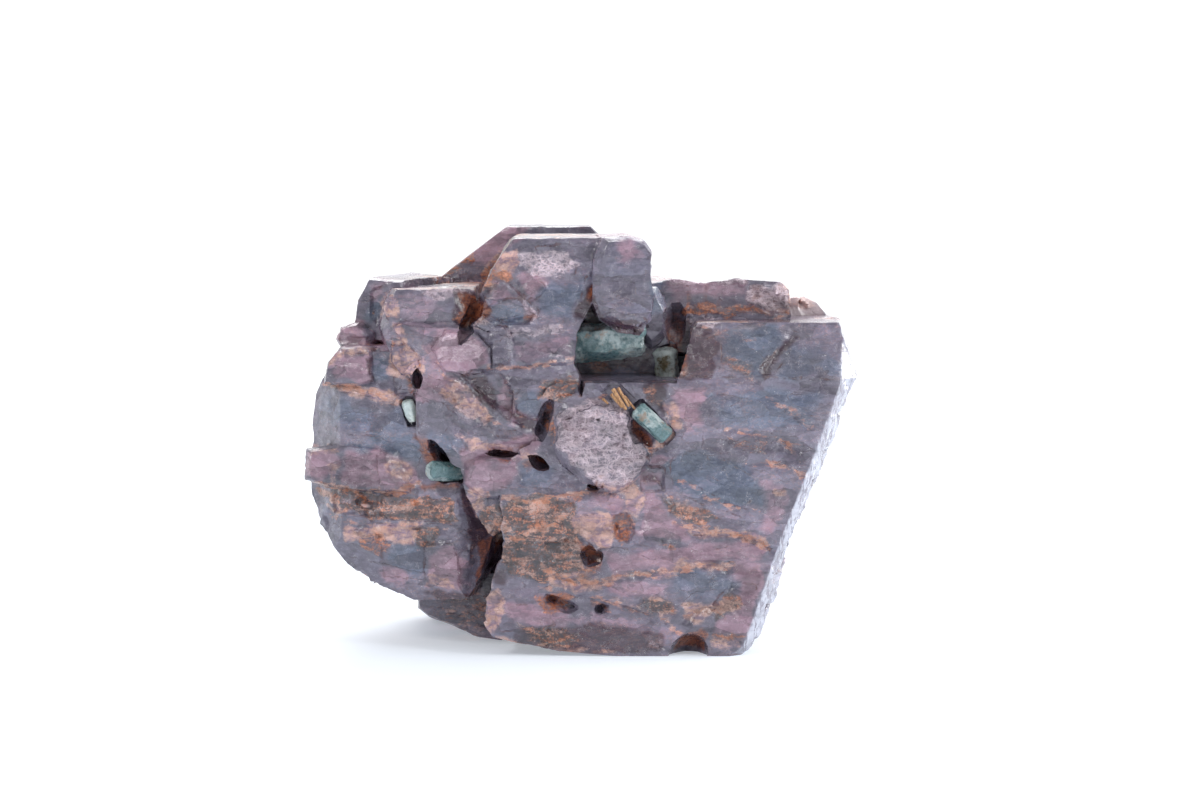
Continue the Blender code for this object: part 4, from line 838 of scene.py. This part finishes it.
class CrystalFinish(Finish):
    """The material of the spinel crystals: layers of colour over patterns that they share."""

    # A painted highlight: the colour of the upward faces of the ledges behind, lighter where light falls on
    # them.
    PAINTED_TOP_HIGHLIGHT = linear(222, 200, 200)
    # A painted sheen: the colour of the right side's faces, as if they reflected the white surround.
    SIDE_SHEEN = linear(182, 185, 200)
    SCUFF = (0.72, 0.68, 0.7, 1.0)
    COLOURS = ("slate", "blue", "mauve", "wine", "salmon", "rust", "teal", "frost", "depth")

    def __init__(self, name, settings):
        super().__init__(name)
        for colour in self.COLOURS:
            setattr(self, colour, tuple(getattr(settings, colour)))
        self.umber = self.dimmed(self.rust, 0.3)
        self.layered = self.mapped(turn=(0.0, -8.0, 0.0), scale=(0.4, 0.6, 1.0))
        self.soft = self.noise(0.26, 4.0, 0.55, self.layered, 0.6)
        self.cloud = self.noise(0.36, 4.0, 0.6, self.mapped(turn=(20.0, 35.0, 10.0)), 0.5)
        self.fine = self.noise(1.1, 8.0, 0.68, None, 0.4)
        self.grit = self.noise(4.5, 6.0, 0.72)
        self.streak = self.noise(1.4, 8.0, 0.66, self.layered, 1.0)
        self.ragged = self.fine * 0.5 + self.streak * 0.5
        self.grainy = self.ramp(self.grit + (self.streak - 0.5) * 1.2, 0.38, 0.62)
        wander = self.node("ShaderNodeTexNoise", {}, {"Vector": self.mm, "Scale": 1.2}, out="Color")
        self.bent = self.node(
            "ShaderNodeVectorMath", {"operation": "MULTIPLY_ADD"},
            {0: wander, 1: (0.5, 0.5, 0.5), 2: self.mapped((8.0, 12.0, 14.0), (0.6, 0.9, 1.4))},
        )
        self.broad, self.tint = self.chips(0.5, self.bent)
        self.small, self.small_tint = self.chips(2.0, self.bent)
        self.broken = self.tint * 0.5 + self.small_tint * 0.4

    def dimmed(self, colour, share):
        return tuple(share * channel for channel in colour[:3]) + (1.0,)

    def zone(self, name, low, high):
        """How fully a place belongs to a kind of zone, with a ragged border."""
        return self.ramp(self.mark(name) + (self.ragged - 0.5) * 1.1 + self.broken * 0.3, low, high)

    def gaps(self, scale, grain):
        """The distance to the nearest gap between chips of this scale, roughened by the grain."""
        where = {"Vector": self.bent, "Scale": scale}
        gap = self.node("ShaderNodeTexVoronoi", {"feature": "DISTANCE_TO_EDGE"}, where)
        return gap + (self.grit - 0.5) * grain

    def faces(self):
        """The clean crystal faces: slate, turning blue, lilac or wine red."""
        blued = self.mark("blue") + (self.cloud - 0.5) * 0.7 + self.tint * 0.3
        colour = self.mix(self.ramp(blued, 0.1, 0.9), self.slate, self.blue)
        lilac = self.mark("mauve") + (self.soft - 0.5) * 0.8 + (self.cloud - 0.5) * 0.5 + self.broken * 0.45
        colour = self.mix(self.ramp(lilac, 0.2, 1.0), colour, self.mauve)
        reddened = self.mark("wine") + (self.cloud - 0.5) * 0.6 + (self.ragged - 0.5) * 0.5
        return self.mix(self.ramp(reddened + self.broken * 0.35, 0.35, 0.9) * 0.9, colour, self.wine)

    def mottled(self, colour):
        """The dark zones with tan and ochre flakes, and the pink and tan patches."""
        self.dim = self.zone("teal", 0.3, 0.75)
        flakes = self.noise(0.6, 7.0, 0.66, self.layered, 0.8)
        dark = self.mix(self.ramp(self.fine, 0.35, 0.6), self.dimmed(self.teal, 0.5), self.teal)
        flaked = self.mix(self.ramp(flakes + (self.grit - 0.5) * 0.3, 0.51, 0.57) * 0.85, dark, self.salmon)
        ochre = self.ramp(self.streak + (self.grit - 0.5) * 0.6 + self.small_tint * 0.1, 0.54, 0.6)
        flaked = self.mix(ochre * 0.8, flaked, self.rust)
        flaked = self.mix(self.ramp(abs(self.fine - 0.5), 0.03, 0.01) * 0.7, flaked, self.umber)
        colour = self.mix(self.dim * 0.85, colour, flaked)
        patch = self.mix(self.ramp(self.ragged, 0.42, 0.56), self.mauve, self.salmon)
        return self.mix(self.zone("salmon", 0.4, 0.95) * 0.8, colour, patch)

    def bruised(self, colour):
        """The frosty zones, crossed by pale cracks."""
        cracked = self.ramp(self.gaps(1.3, 0.16), 0.08, 0.0)
        flaky = self.ramp(abs(self.fine - 0.5), 0.07, 0.0) * 0.8
        self.flaky = flaky.at_least(self.ramp(self.grit, 0.5, 0.62) * 0.5).at_least(cracked)
        self.icy = self.zone("frost", 0.35, 0.8)
        murk = self.mix(self.fine, self.depth, self.mauve)
        colour = self.mix(self.icy * self.ramp(self.cloud, 0.4, 0.62) * 0.6, colour, murk)
        return self.mix(self.icy * (0.15 + self.flaky * 0.75), colour, self.frost)

    def stained(self, colour):
        """The iron stains, their flecks, the veins and the threads between them."""
        self.stain = self.zone("rust", 0.5, 0.95)
        crust = self.mix(self.grainy, self.umber, self.rust)
        colour = self.mix(self.stain * (0.4 + self.grainy * 0.5), colour, crust)
        fleck = self.ramp(self.streak + (self.grit - 0.5) * 0.8, 0.58, 0.68)
        colour = self.mix(fleck * (self.dim + self.stain).at_most(1.0) * 0.6, colour, self.salmon)
        vein = self.mark("vein") + (self.ragged - 0.5) * 1.8 + self.small_tint * 0.4
        self.vein = self.ramp(vein, 0.6, 1.0)
        colour = self.mix(self.vein * 0.7, colour, self.mix(self.grainy * 0.7, self.salmon, self.rust))
        thread = self.ramp(abs(self.streak - 0.5), 0.014, 0.0) * self.ramp(self.soft, 0.44, 0.62)
        return self.mix(thread * 0.35, colour, self.mix(self.cloud, self.salmon, self.rust))

    def weathered_and_lit(self, colour):
        """Light and dark clouds, a painted highlight on the upward faces of the ledges behind, a painted
        sheen on the right side, edges lightened by wear and by a painted highlight, and scuffs.
        """
        clouds = self.ramp(self.soft, 0.25, 0.75, 0.76, 1.24)
        mottle = self.fine + self.grit * 0.6 + self.cloud * 0.5 + self.tint * 0.5 + self.small_tint * 0.3
        colour = self.shade(colour, clouds * mottle)
        # Painted highlight: the upward faces of the ledges behind are made paler.
        colour = self.mix(self.mark("pale") * (0.45 + self.ragged * 0.5), colour, self.PAINTED_TOP_HIGHLIGHT)
        along = self.mapped(turn=(0.0, -24.0, 0.0), scale=(1.6, 0.5, 0.16))
        grooved = self.ramp(abs(self.noise(1.0, 5.0, 0.6, along, 0.6) - 0.5), 0.06, 0.015)
        grooved = grooved * self.ramp(self.fine, 0.34, 0.5)
        # Painted sheen: the faces turned to the right are made silvery, with grooves across them.
        sheen = self.mark("side") * self.ramp(self.cloud + self.broken * 0.2, 0.35, 0.6, 0.4, 0.8)
        colour = self.mix(sheen, colour, self.mix(grooved * 0.9, self.SIDE_SHEEN, self.slate))
        # Ridges are made lighter, partly as edge wear and partly as a painted highlight along the edges.
        self.worn_and_highlit = self.ramp(self.mark("edge") + (self.fine - 0.5) * 1.4, 0.6, 1.1)
        colour = self.mix(self.worn_and_highlit * 0.5, colour, self.mix(self.streak, self.salmon, self.frost))
        scratch = self.ramp(abs(self.grit - 0.5), 0.016, 0.0) * self.ramp(self.fine, 0.5, 0.64)
        speck = self.ramp(self.cells(1.2), 0.1, 0.05) * self.ramp(self.fine, 0.46, 0.6)
        return self.mix(scratch.at_least(speck) * 0.6, colour, self.SCUFF)

    def shade_seams(self, colour):
        """Painted shade in dark lines along the seams of the ledges and facets, and dark hairline cracks
        across the crystals.
        """
        hairline = self.ramp(self.gaps(0.5, 0.06), 0.03, 0.0) * self.ramp(self.ragged, 0.5, 0.6)
        seam = self.ramp(self.mark("seam") + (self.fine - 0.5) * 0.6, 0.12, 0.0)
        self.seam = (seam * self.ramp(self.cloud, 0.4, 0.6)).at_least(hairline * 0.8)
        return self.mix(self.seam * 0.5, colour, self.depth)

    def shaded(self, colour):
        """Painted shade in pits, cracks and hollows: the hollows found from the mesh's bends and the dark
        zones turn red-brown, grained with rust.
        """
        hollow = self.ramp(self.mark("dark") + self.mark("deep") * 0.6 + (self.fine - 0.5) * 0.5, 0.3, 1.0)
        return self.mix(hollow * 0.85, colour, self.mix(self.grainy * 0.7, self.depth, self.rust))

    def surfaced(self, colour):
        """Gives the surface its colour, gloss and fine relief."""
        uneven = (self.stain + self.icy + self.dim * 0.7 + self.worn_and_highlit).at_most(1.0)
        rough = 0.1 + self.fine * 0.1 + uneven * 0.3 + self.vein * 0.15
        height = self.fine * 0.4 + self.streak * 0.3 + self.grit * (0.03 + uneven * 0.35) + self.cloud
        height = height + self.flaky * self.icy * 0.3
        height = height + self.broad * 0.7 + self.small * (0.5 + uneven * 2.0) - self.seam * 0.4
        self.set(
            Base_Color=colour, Roughness=rough.at_most(0.8), IOR=1.72, Coat_Weight=self.mark("side") * 0.8,
            Coat_Roughness=0.12, Normal=self.bump(height, 0.2 * MM, 0.8),
        )


class SPINEL_OT_crystals(Operator):
    """Grows the fine surface of the spinel crystals over their solid, and finishes it"""

    bl_idname = "spinel.crystals"
    bl_label = "Spinel Crystals"

    # In millimetres: how far edges are worn back, how deep pits, cracks and veins go, how far faces swell,
    # the steps of the right side and their spacing, and the heights between which the relief fades out
    # above the flat base.
    EDGE_WEAR = 0.34
    PIT_DEPTH = 0.5
    CRACK_DEPTH = 0.22
    VEIN_DEPTH = 0.10
    SWELL = 0.10
    SIDE_STEP = 0.16
    SIDE_STEP_SPACING = 1.3
    GROUNDED = (0.15, 1.2)

    def execute(self, context):
        settings = context.scene.spinel
        seed = context.scene.spinel_stage.seed
        piece = link_piece("spinel_crystals", merged_copy("spinel"))
        even_cells(piece, settings.cell)
        self.grow(piece.data, settings, seed)
        thinned(piece, settings.triangles)
        cleared(piece)
        self.paint(piece.data, seed)
        piece.data.shade_smooth()
        piece.data.set_sharp_from_angle(angle=math.radians(32.0))
        piece.data.materials.clear()
        piece.data.materials.append(self.finish(settings))
        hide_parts("spinel")
        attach(piece, BODY)
        return {"FINISHED"}

    def grow(self, mesh, settings, seed):
        """Moves the surface out and in, and stores its seams, ridges and hollows: these carry the painted
        shade along seams and in hollows, and the edges lightened by wear and by a painted highlight.
        """
        corners = corners_of(mesh)
        edges = edges_of(mesh)
        normals = spread(normals_of(mesh), edges, 2)
        normals /= np.linalg.norm(normals, axis=1, keepdims=True)
        points = corners / MM + GRID_SHIFT
        front = facing_front(points, normals)
        lifted, seam = ledge_rise(points, seed + 120)
        moved = self.relief(points, normals, lifted * MM * front, settings, seed)
        ridges = bulge(corners / MM, normals, edges, 8)
        wear = smoothstep(ridges, 0.05, 0.4) * np.clip(0.5 + 0.6 * cloudy(points, 1.5, seed + 6), 0.0, 1.5)
        moved -= self.EDGE_WEAR * MM * wear
        grounded = smoothstep(points[:, 2], *self.GROUNDED)
        corners += normals * (moved * grounded)[:, None]
        corners[:, 2] = np.maximum(corners[:, 2], 0.0)
        mesh.vertices.foreach_set("co", corners.ravel())
        mesh.update()
        store(mesh, "seam", SEAM_REACH + (seam - SEAM_REACH) * smoothstep(front, 0.2, 0.5))
        # edge: the ridges, lightened by wear and by a painted highlight.
        store(mesh, "edge", smoothstep(spread(bulge(corners / MM, normals, edges, 6), edges, 1), 0.02, 0.26))
        # deep: the hollows, darkened as painted shade.
        store(mesh, "deep", smoothstep(-bulge(corners / MM, normals, edges, 50), 0.08, 0.9))

    def relief(self, points, normals, lifted, settings, seed):
        """How far plates, shards, pits, grain, veins and side steps move each point out, in metres."""
        marks = self.marks(points, normals, seed)
        beside = smoothstep(normals[:, 0], 0.45, 0.8)
        broken = marks["rust"] + 0.8 * marks["teal"] + 1.3 * marks["frost"] + 0.5 * marks["salmon"]
        broken = np.clip(broken - 0.25 + 0.4 * cloudy(points, 4.0, seed + 1), 0.08, 1.3)
        broken *= 1.0 - 0.85 * beside
        large, large_slope = shards(points, 7.0, seed)
        bent = points + 0.5 * np.stack([cloudy(points, 3.0, seed + axis) for axis in range(3)], axis=1)
        small, small_slope = shards(bent, 2.4, seed + 9)
        moved = settings.plate_rise * (0.8 * (large - 0.5) + 1.2 * large_slope) * 0.6
        moved += lifted
        moved -= self.PIT_DEPTH * MM * smoothstep(cloudy(points, 1.6, seed + 7, 3), 0.7, 1.2) * broken
        moved += settings.plate_rise * (0.8 * (small - 0.5) + 2.6 * small_slope) * broken
        moved += settings.roughness_height * (broken - 0.1) * cloudy(points, 0.9, seed + 2, 3)
        moved += self.CRACK_DEPTH * MM * marks["frost"] * (0.6 - np.abs(cloudy(points, 2.0, seed + 8, 3)))
        moved += self.SWELL * MM * cloudy(points, 9.0, seed + 4, 2)
        moved *= 1.0 - 0.75 * smoothstep(normals[:, 2], 0.6, 0.9)
        moved -= self.VEIN_DEPTH * MM * smoothstep(marks["vein"], 0.4, 0.9)
        layered = points[:, 2] + 0.16 * points[:, 0] + 0.5 * cloudy(points, 5.0, seed + 5)
        steps = np.abs(np.mod(layered / self.SIDE_STEP_SPACING, 1.0) - 0.3)
        return moved + self.SIDE_STEP * MM * beside * steps

    def paint(self, mesh, seed):
        normals = normals_of(mesh)
        points = corners_of(mesh) / MM + GRID_SHIFT
        for name, values in self.marks(points, normals, seed).items():
            store(mesh, name, values)

    def marks(self, points, normals, seed):
        """The strength of each mark: the outlined zones in front, and clouds of the same kinds elsewhere."""
        front = facing_front(points, normals)
        layered = points * np.array((0.45, 0.6, 1.0))
        layered[:, 2] += 0.08 * points[:, 0]
        wild = {
            "mauve": smoothstep(cloudy(layered, 5.0, seed + 40), -0.9, 1.1),
            "salmon": smoothstep(cloudy(layered, 3.6, seed + 50), -0.2, 1.6),
            "rust": smoothstep(cloudy(layered, 3.2, seed + 60), -0.1, 1.7),
            "teal": smoothstep(cloudy(layered, 5.0, seed + 70), -0.4, 1.2),
            "frost": smoothstep(cloudy(points, 5.0, seed + 80), 0.2, 1.6),
            "wine": smoothstep(cloudy(points, 6.0, seed + 85), -0.4, 1.4),
            "blue": smoothstep(cloudy(layered, 6.0, seed + 88), -0.3, 1.2),
            "dark": np.zeros(len(points)),
        }
        marks = {}
        for name, zones in ZONES.items():
            in_front = np.maximum(painted(points, zones, seed + 100), 0.3 * wild[name])
            marks[name] = front * in_front + (1.0 - front) * wild[name]
        stray = smoothstep(np.abs(cloudy(layered, 7.0, seed + 90)), 0.12, 0.0)
        stray *= smoothstep(cloudy(points, 8.0, seed + 95), -0.2, 0.6)
        marks["vein"] = front * vein_marks(points, seed + 110) + (1.0 - front) * stray
        # pale: the upward faces of the ledges behind, which get a painted highlight.
        rear = smoothstep(points[:, 1], -8.0, -1.0) * smoothstep(points[:, 1], 14.0, 8.0)
        rear *= smoothstep(points[:, 0], 4.0, 10.0) * smoothstep(points[:, 2], 32.0, 35.0)
        marks["pale"] = rear * smoothstep(normals[:, 2] - normals[:, 1], 0.0, 0.6)
        # side: the faces turned to the right beyond the front's outline, which get a painted sheen and a
        # glossy coat.
        beyond = points[:, 0] - np.minimum(16.0 + 0.36 * points[:, 2], 24.0)
        marks["side"] = smoothstep(normals[:, 0], 0.3, 0.6) * smoothstep(beyond, -1.5, 0.0)
        marks["side"] *= 0.4 + 0.6 * smoothstep(points[:, 1], -6.0, -12.0)
        return marks

    def finish(self, settings):
        finish = CrystalFinish("spinel_crystal", settings)
        colour = finish.bruised(finish.mottled(finish.faces()))
        colour = finish.weathered_and_lit(finish.stained(colour))
        colour = finish.shaded(finish.shade_seams(colour))
        finish.surfaced(colour)
        return finish.material


class SPINEL_OT_apatites(Operator):
    """Makes the apatite crystals that sit in the hollows"""

    bl_idname = "spinel.apatites"
    bl_label = "Apatite Crystals"

    CRUST = linear(140, 96, 60)

    # Each is (node, slot, its size against the solid's, how strongly it is dented).
    CRYSTALS = (
        ("apatite_large", "apatite", 1.16, 4.0), ("apatite_prism", "apatite", 0.92, 0.8),
        ("apatite_small", "apatite", 1.0, 0.9), ("apatite_chip", "apatite_pale", 1.06, 2.0),
        ("apatite_olive", "apatite_olive", 1.0, 4.0),
    )

    def execute(self, context):
        settings = context.scene.spinel_apatite
        seed = context.scene.spinel_stage.seed
        finishes = {
            "apatite": self.finish("blue_green_apatite", tuple(settings.blue), tuple(settings.pale)),
            "apatite_pale": self.finish("pale_apatite", tuple(settings.pale), linear(216, 220, 214)),
            "apatite_olive": self.finish("olive_apatite", tuple(settings.olive), tuple(settings.pale)),
        }
        for number, (node, slot, size, dent) in enumerate(self.CRYSTALS):
            piece = self.crystal(node, size, dent * settings.bruise, seed + number)
            piece.data.materials.clear()
            piece.data.materials.append(finishes[slot])
            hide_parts(node)
            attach(piece, BODY)
        return {"FINISHED"}

    def crystal(self, node, size, dent, seed):
        """A prism with worn edges and dented faces."""
        shape = merged_copy(node)
        bmesh.ops.dissolve_limit(shape, angle_limit=0.02, verts=shape.verts, edges=shape.edges)
        bmesh.ops.bevel(
            shape, geom=shape.edges[:], offset=0.09 * MM, affect="EDGES",
            segments=2, profile=0.5, material=-1,
        )
        bmesh.ops.triangulate(shape, faces=shape.faces)
        for _ in range(6):
            long_edges = [edge for edge in shape.edges if edge.calc_length() > 0.16 * MM]
            bmesh.ops.subdivide_edges(shape, edges=long_edges, cuts=1, use_grid_fill=True)
            bmesh.ops.triangulate(shape, faces=shape.faces)
        bmesh.ops.recalc_face_normals(shape, faces=shape.faces)
        piece = link_piece(f"{node}_crystal", shape)
        corners = corners_of(piece.data)
        points = corners / MM
        dents = np.minimum(cloudy(points, 1.8, seed, 2), 0.2) + 0.1 * cloudy(points, 0.5, seed + 8)
        corners += normals_of(piece.data) * (dent * dents)[:, None]
        middle = (corners.min(axis=0) + corners.max(axis=0)) / 2.0
        corners = middle + (corners - middle) * size
        piece.data.vertices.foreach_set("co", corners.ravel())
        piece.data.shade_smooth()
        piece.data.set_sharp_from_angle(angle=math.radians(40.0))
        return piece

    def finish(self, name, body, cloud):
        finish = Finish(name)
        murk = finish.noise(0.32, 4.0, 0.6, None, 0.5)
        fine = finish.noise(3.0, 6.0, 0.65)
        colour = finish.mix(finish.ramp(murk + (fine - 0.5) * 0.2, 0.46, 0.6) * 0.75, body, cloud)
        colour = finish.shade(colour, 0.6 + fine * 0.75)
        crust = finish.ramp(finish.noise(0.6, 5.0, 0.7) + (fine - 0.5) * 0.5, 0.56, 0.7)
        colour = finish.mix(crust * 0.6, colour, self.CRUST)
        finish.set(
            Base_Color=colour, Roughness=0.18 + fine * 0.2 + crust * 0.4, IOR=1.63,
            Subsurface_Weight=0.35, Subsurface_Scale=0.6 * MM, Normal=finish.bump(fine, 0.08 * MM, 0.6),
        )
        finish.surface.inputs["Subsurface Radius"].default_value = (0.7, 1.0, 0.9)
        return finish.material


class SPINEL_OT_mica(Operator):
    """Makes the mica splinters at the lip of the hollow"""

    bl_idname = "spinel.mica"
    bl_label = "Mica Splinters"

    BARK = linear(128, 86, 62)

    # Each splinter is (start, end, radius) in millimetres, on the grid of the marks.
    SPLINTERS = (
        ((3.3, -17.2, 27.0), (4.6, -17.9, 25.0), 0.24), ((3.8, -17.1, 27.1), (4.9, -17.7, 25.3), 0.2),
        ((3.1, -17.3, 26.5), (4.2, -17.8, 25.2), 0.18), ((4.4, -17.0, 26.3), (5.5, -17.5, 25.0), 0.16),
        ((2.3, -17.2, 26.0), (2.8, -17.8, 25.6), 0.16),
    )

    def execute(self, context):
        settings = context.scene.spinel_mica
        shape = bmesh.new()
        for start, end, radius in self.SPLINTERS:
            start, end = Vector(start) - Vector(GRID_SHIFT), Vector(end) - Vector(GRID_SHIFT)
            turn = (end - start).to_track_quat("Z", "Y").to_matrix().to_4x4()
            bmesh.ops.create_cone(
                shape, cap_ends=True, segments=6, radius1=radius * MM, radius2=radius * 0.7 * MM,
                depth=(end - start).length * MM, matrix=Matrix.Translation((start + end) / 2.0 * MM) @ turn,
            )
        bmesh.ops.bevel(
            shape, geom=shape.edges[:], offset=0.02 * MM, affect="EDGES",
            segments=1, profile=0.5, material=-1,
        )
        piece = link_piece("mica_splinter_bundle", shape)
        piece.data.materials.append(self.finish(tuple(settings.straw)))
        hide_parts("mica_splinters")
        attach(piece, BODY)
        return {"FINISHED"}

    def finish(self, straw):
        finish = Finish("mica_splinter")
        grain = finish.noise(3.0, 4.0, 0.6, finish.mapped(turn=(0.0, -45.0, 0.0), scale=(4.0, 4.0, 0.5)))
        colour = finish.mix(finish.ramp(grain, 0.35, 0.7), self.BARK, straw)
        finish.set(Base_Color=colour, Roughness=0.35 + grain * 0.2, Normal=finish.bump(grain, 0.05 * MM))
        return finish.material


class SPINEL_OT_stage(Operator):
    """Sets the floor, the lights, the white surround and the camera"""

    bl_idname = "spinel.stage"
    bl_label = "Stage"

    # The camera looks at the target, in millimetres on the grid of the marks, and the lamps at the middle,
    # in metres. The floor's half side is in metres, the sensor's width in millimetres.
    TARGET = (2.0, 0.0, 24.4)
    MIDDLE = (0.0, 0.0, 0.02)
    SENSOR_WIDTH = 36.0
    FLOOR_HALF = 4.0
    FLOOR_COLOURS = (linear(212, 218, 225), linear(220, 226, 232))

    # Each lamp is (name, place in metres, side in metres, watts).
    LAMPS = (
        ("left_front", (-0.26, -0.34, 0.34), 0.10, 0.72),
        ("right_front", (0.34, -0.24, 0.26), 0.10, 0.55),
        ("right_rim", (0.36, 0.06, 0.13), 0.26, 1.3),
        ("left_rim", (-0.34, 0.20, 0.16), 0.26, 0.3),
        ("top_rim", (0.0, 0.26, 0.30), 0.26, 1.0),
    )

    def execute(self, context):
        stage = context.scene.spinel_stage
        self.floor()
        self.surround(stage)
        for name, place, side, power in self.LAMPS:
            self.lamp(name, Vector(place), side, power)
        self.camera(stage)
        context.scene.view_settings.view_transform = "Standard"
        return {"FINISHED"}

    def floor(self):
        shape = bmesh.new()
        bmesh.ops.create_grid(shape, x_segments=1, y_segments=1, size=self.FLOOR_HALF)
        piece = link_piece("floor", shape)
        finish = Finish("pale_glowing_floor")
        cloud = finish.noise(0.02, 3.0)
        away = finish.node("ShaderNodeVectorMath", {"operation": "LENGTH"}, {0: finish.mm}, out="Value")
        near = finish.mix(cloud, *self.FLOOR_COLOURS)
        # Painted light: the floor turns whiter away from the cluster, and it glows with its own colour,
        # which lifts the shadows on it.
        colour = finish.mix(finish.ramp(away, 60.0, 500.0), near, (1.0, 1.0, 1.0, 1.0))
        finish.set(Base_Color=colour, Roughness=0.7, Emission_Color=colour, Emission_Strength=0.42)
        piece.data.materials.append(finish.material)

    def surround(self, stage):
        world = bpy.data.worlds.new("white_surround")
        world.use_nodes = True
        tree = world.node_tree
        way = Wire(tree, tree.nodes.new("ShaderNodeTexCoord").outputs["Generated"])
        parts = tree.nodes.new("ShaderNodeSeparateXYZ")
        tree.links.new(way.socket, parts.inputs[0])
        path = tree.nodes.new("ShaderNodeLightPath")
        seen = Wire(tree, path.outputs["Is Camera Ray"])
        lighting = Wire(tree, path.outputs["Is Diffuse Ray"])
        ahead = (Wire(tree, parts.outputs["Y"]) * -1.8 - 0.4).at_least(0.0).at_most(1.0)
        behind = (Wire(tree, parts.outputs["Y"]) * 1.8 + 0.3).at_least(0.0).at_most(1.0)
        leftward = (Wire(tree, parts.outputs["X"]) * -1.4 - 0.1).at_least(0.0).at_most(1.0)
        rightward = (Wire(tree, parts.outputs["X"]) * 1.4 - 0.1).at_least(0.0).at_most(1.0)
        dimmed = (1.0 - ahead * 0.7) * (1.0 - leftward * 0.5) * (1.0 - rightward * lighting * 0.3)
        dimmed = dimmed * (1.0 - behind * lighting * 0.65)
        background = tree.nodes["Background"]
        background.inputs["Color"].default_value = (0.97, 0.98, 1.0, 1.0)
        tree.links.new((seen.at_least(dimmed) * stage.surround).socket, background.inputs["Strength"])
        bpy.context.scene.world = world

    def lamp(self, name, place, side, power):
        light = bpy.data.lights.new(name, "AREA")
        light.size = side
        light.energy = power
        holder = bpy.data.objects.new(name, light)
        bpy.context.scene.collection.objects.link(holder)
        holder.location = place
        holder.rotation_mode = "QUATERNION"
        holder.rotation_quaternion = (Vector(self.MIDDLE) - place).to_track_quat("-Z", "Y")
        holder.visible_camera = False

    def camera(self, stage):
        lens = bpy.data.cameras.new("camera")
        lens.lens = stage.lens
        lens.sensor_width = self.SENSOR_WIDTH
        lens.clip_start = 0.01
        holder = bpy.data.objects.new("camera", lens)
        bpy.context.scene.collection.objects.link(holder)
        target = Vector(self.TARGET) - Vector(GRID_SHIFT)
        back = Vector((0.0, -math.cos(stage.elevation), math.sin(stage.elevation)))
        holder.location = target * MM + back * stage.distance
        holder.rotation_mode = "QUATERNION"
        holder.rotation_quaternion = (-back).to_track_quat("-Z", "Y")
        bpy.context.scene.camera = holder


class SPINEL_PT_panel(Panel):
    """Lists the steps and the sizes and colours that they use"""

    bl_idname = "SPINEL_PT_panel"
    bl_label = "Spinel Cluster"
    bl_space_type = "VIEW_3D"
    bl_region_type = "UI"
    bl_category = "Spinel"

    def draw(self, context):
        for operator, group in STEPS:
            box = self.layout.box()
            box.operator(operator)
            settings = getattr(context.scene, group)
            for name in settings.__annotations__:
                box.prop(settings, name)


STEPS = (
    ("spinel.crystals", "spinel"), ("spinel.apatites", "spinel_apatite"),
    ("spinel.mica", "spinel_mica"), ("spinel.stage", "spinel_stage"),
)
GROUPS = {
    "spinel": SpinelSettings, "spinel_apatite": ApatiteSettings,
    "spinel_mica": MicaSettings, "spinel_stage": StageSettings,
}
OPERATORS = (SPINEL_OT_crystals, SPINEL_OT_apatites, SPINEL_OT_mica, SPINEL_OT_stage)


def register():
    for group in GROUPS.values():
        bpy.utils.register_class(group)
    for operator in OPERATORS:
        bpy.utils.register_class(operator)
    bpy.utils.register_class(SPINEL_PT_panel)
    for name, group in GROUPS.items():
        setattr(bpy.types.Scene, name, PointerProperty(type=group))


def unregister():
    for name in GROUPS:
        delattr(bpy.types.Scene, name)
    bpy.utils.unregister_class(SPINEL_PT_panel)
    for operator in reversed(OPERATORS):
        bpy.utils.unregister_class(operator)
    for group in reversed(GROUPS.values()):
        bpy.utils.unregister_class(group)


def main():
    register()
    bpy.ops.spinel.crystals()
    bpy.ops.spinel.apatites()
    bpy.ops.spinel.mica()
    bpy.ops.spinel.stage()


if __name__ == "__main__":
    main()
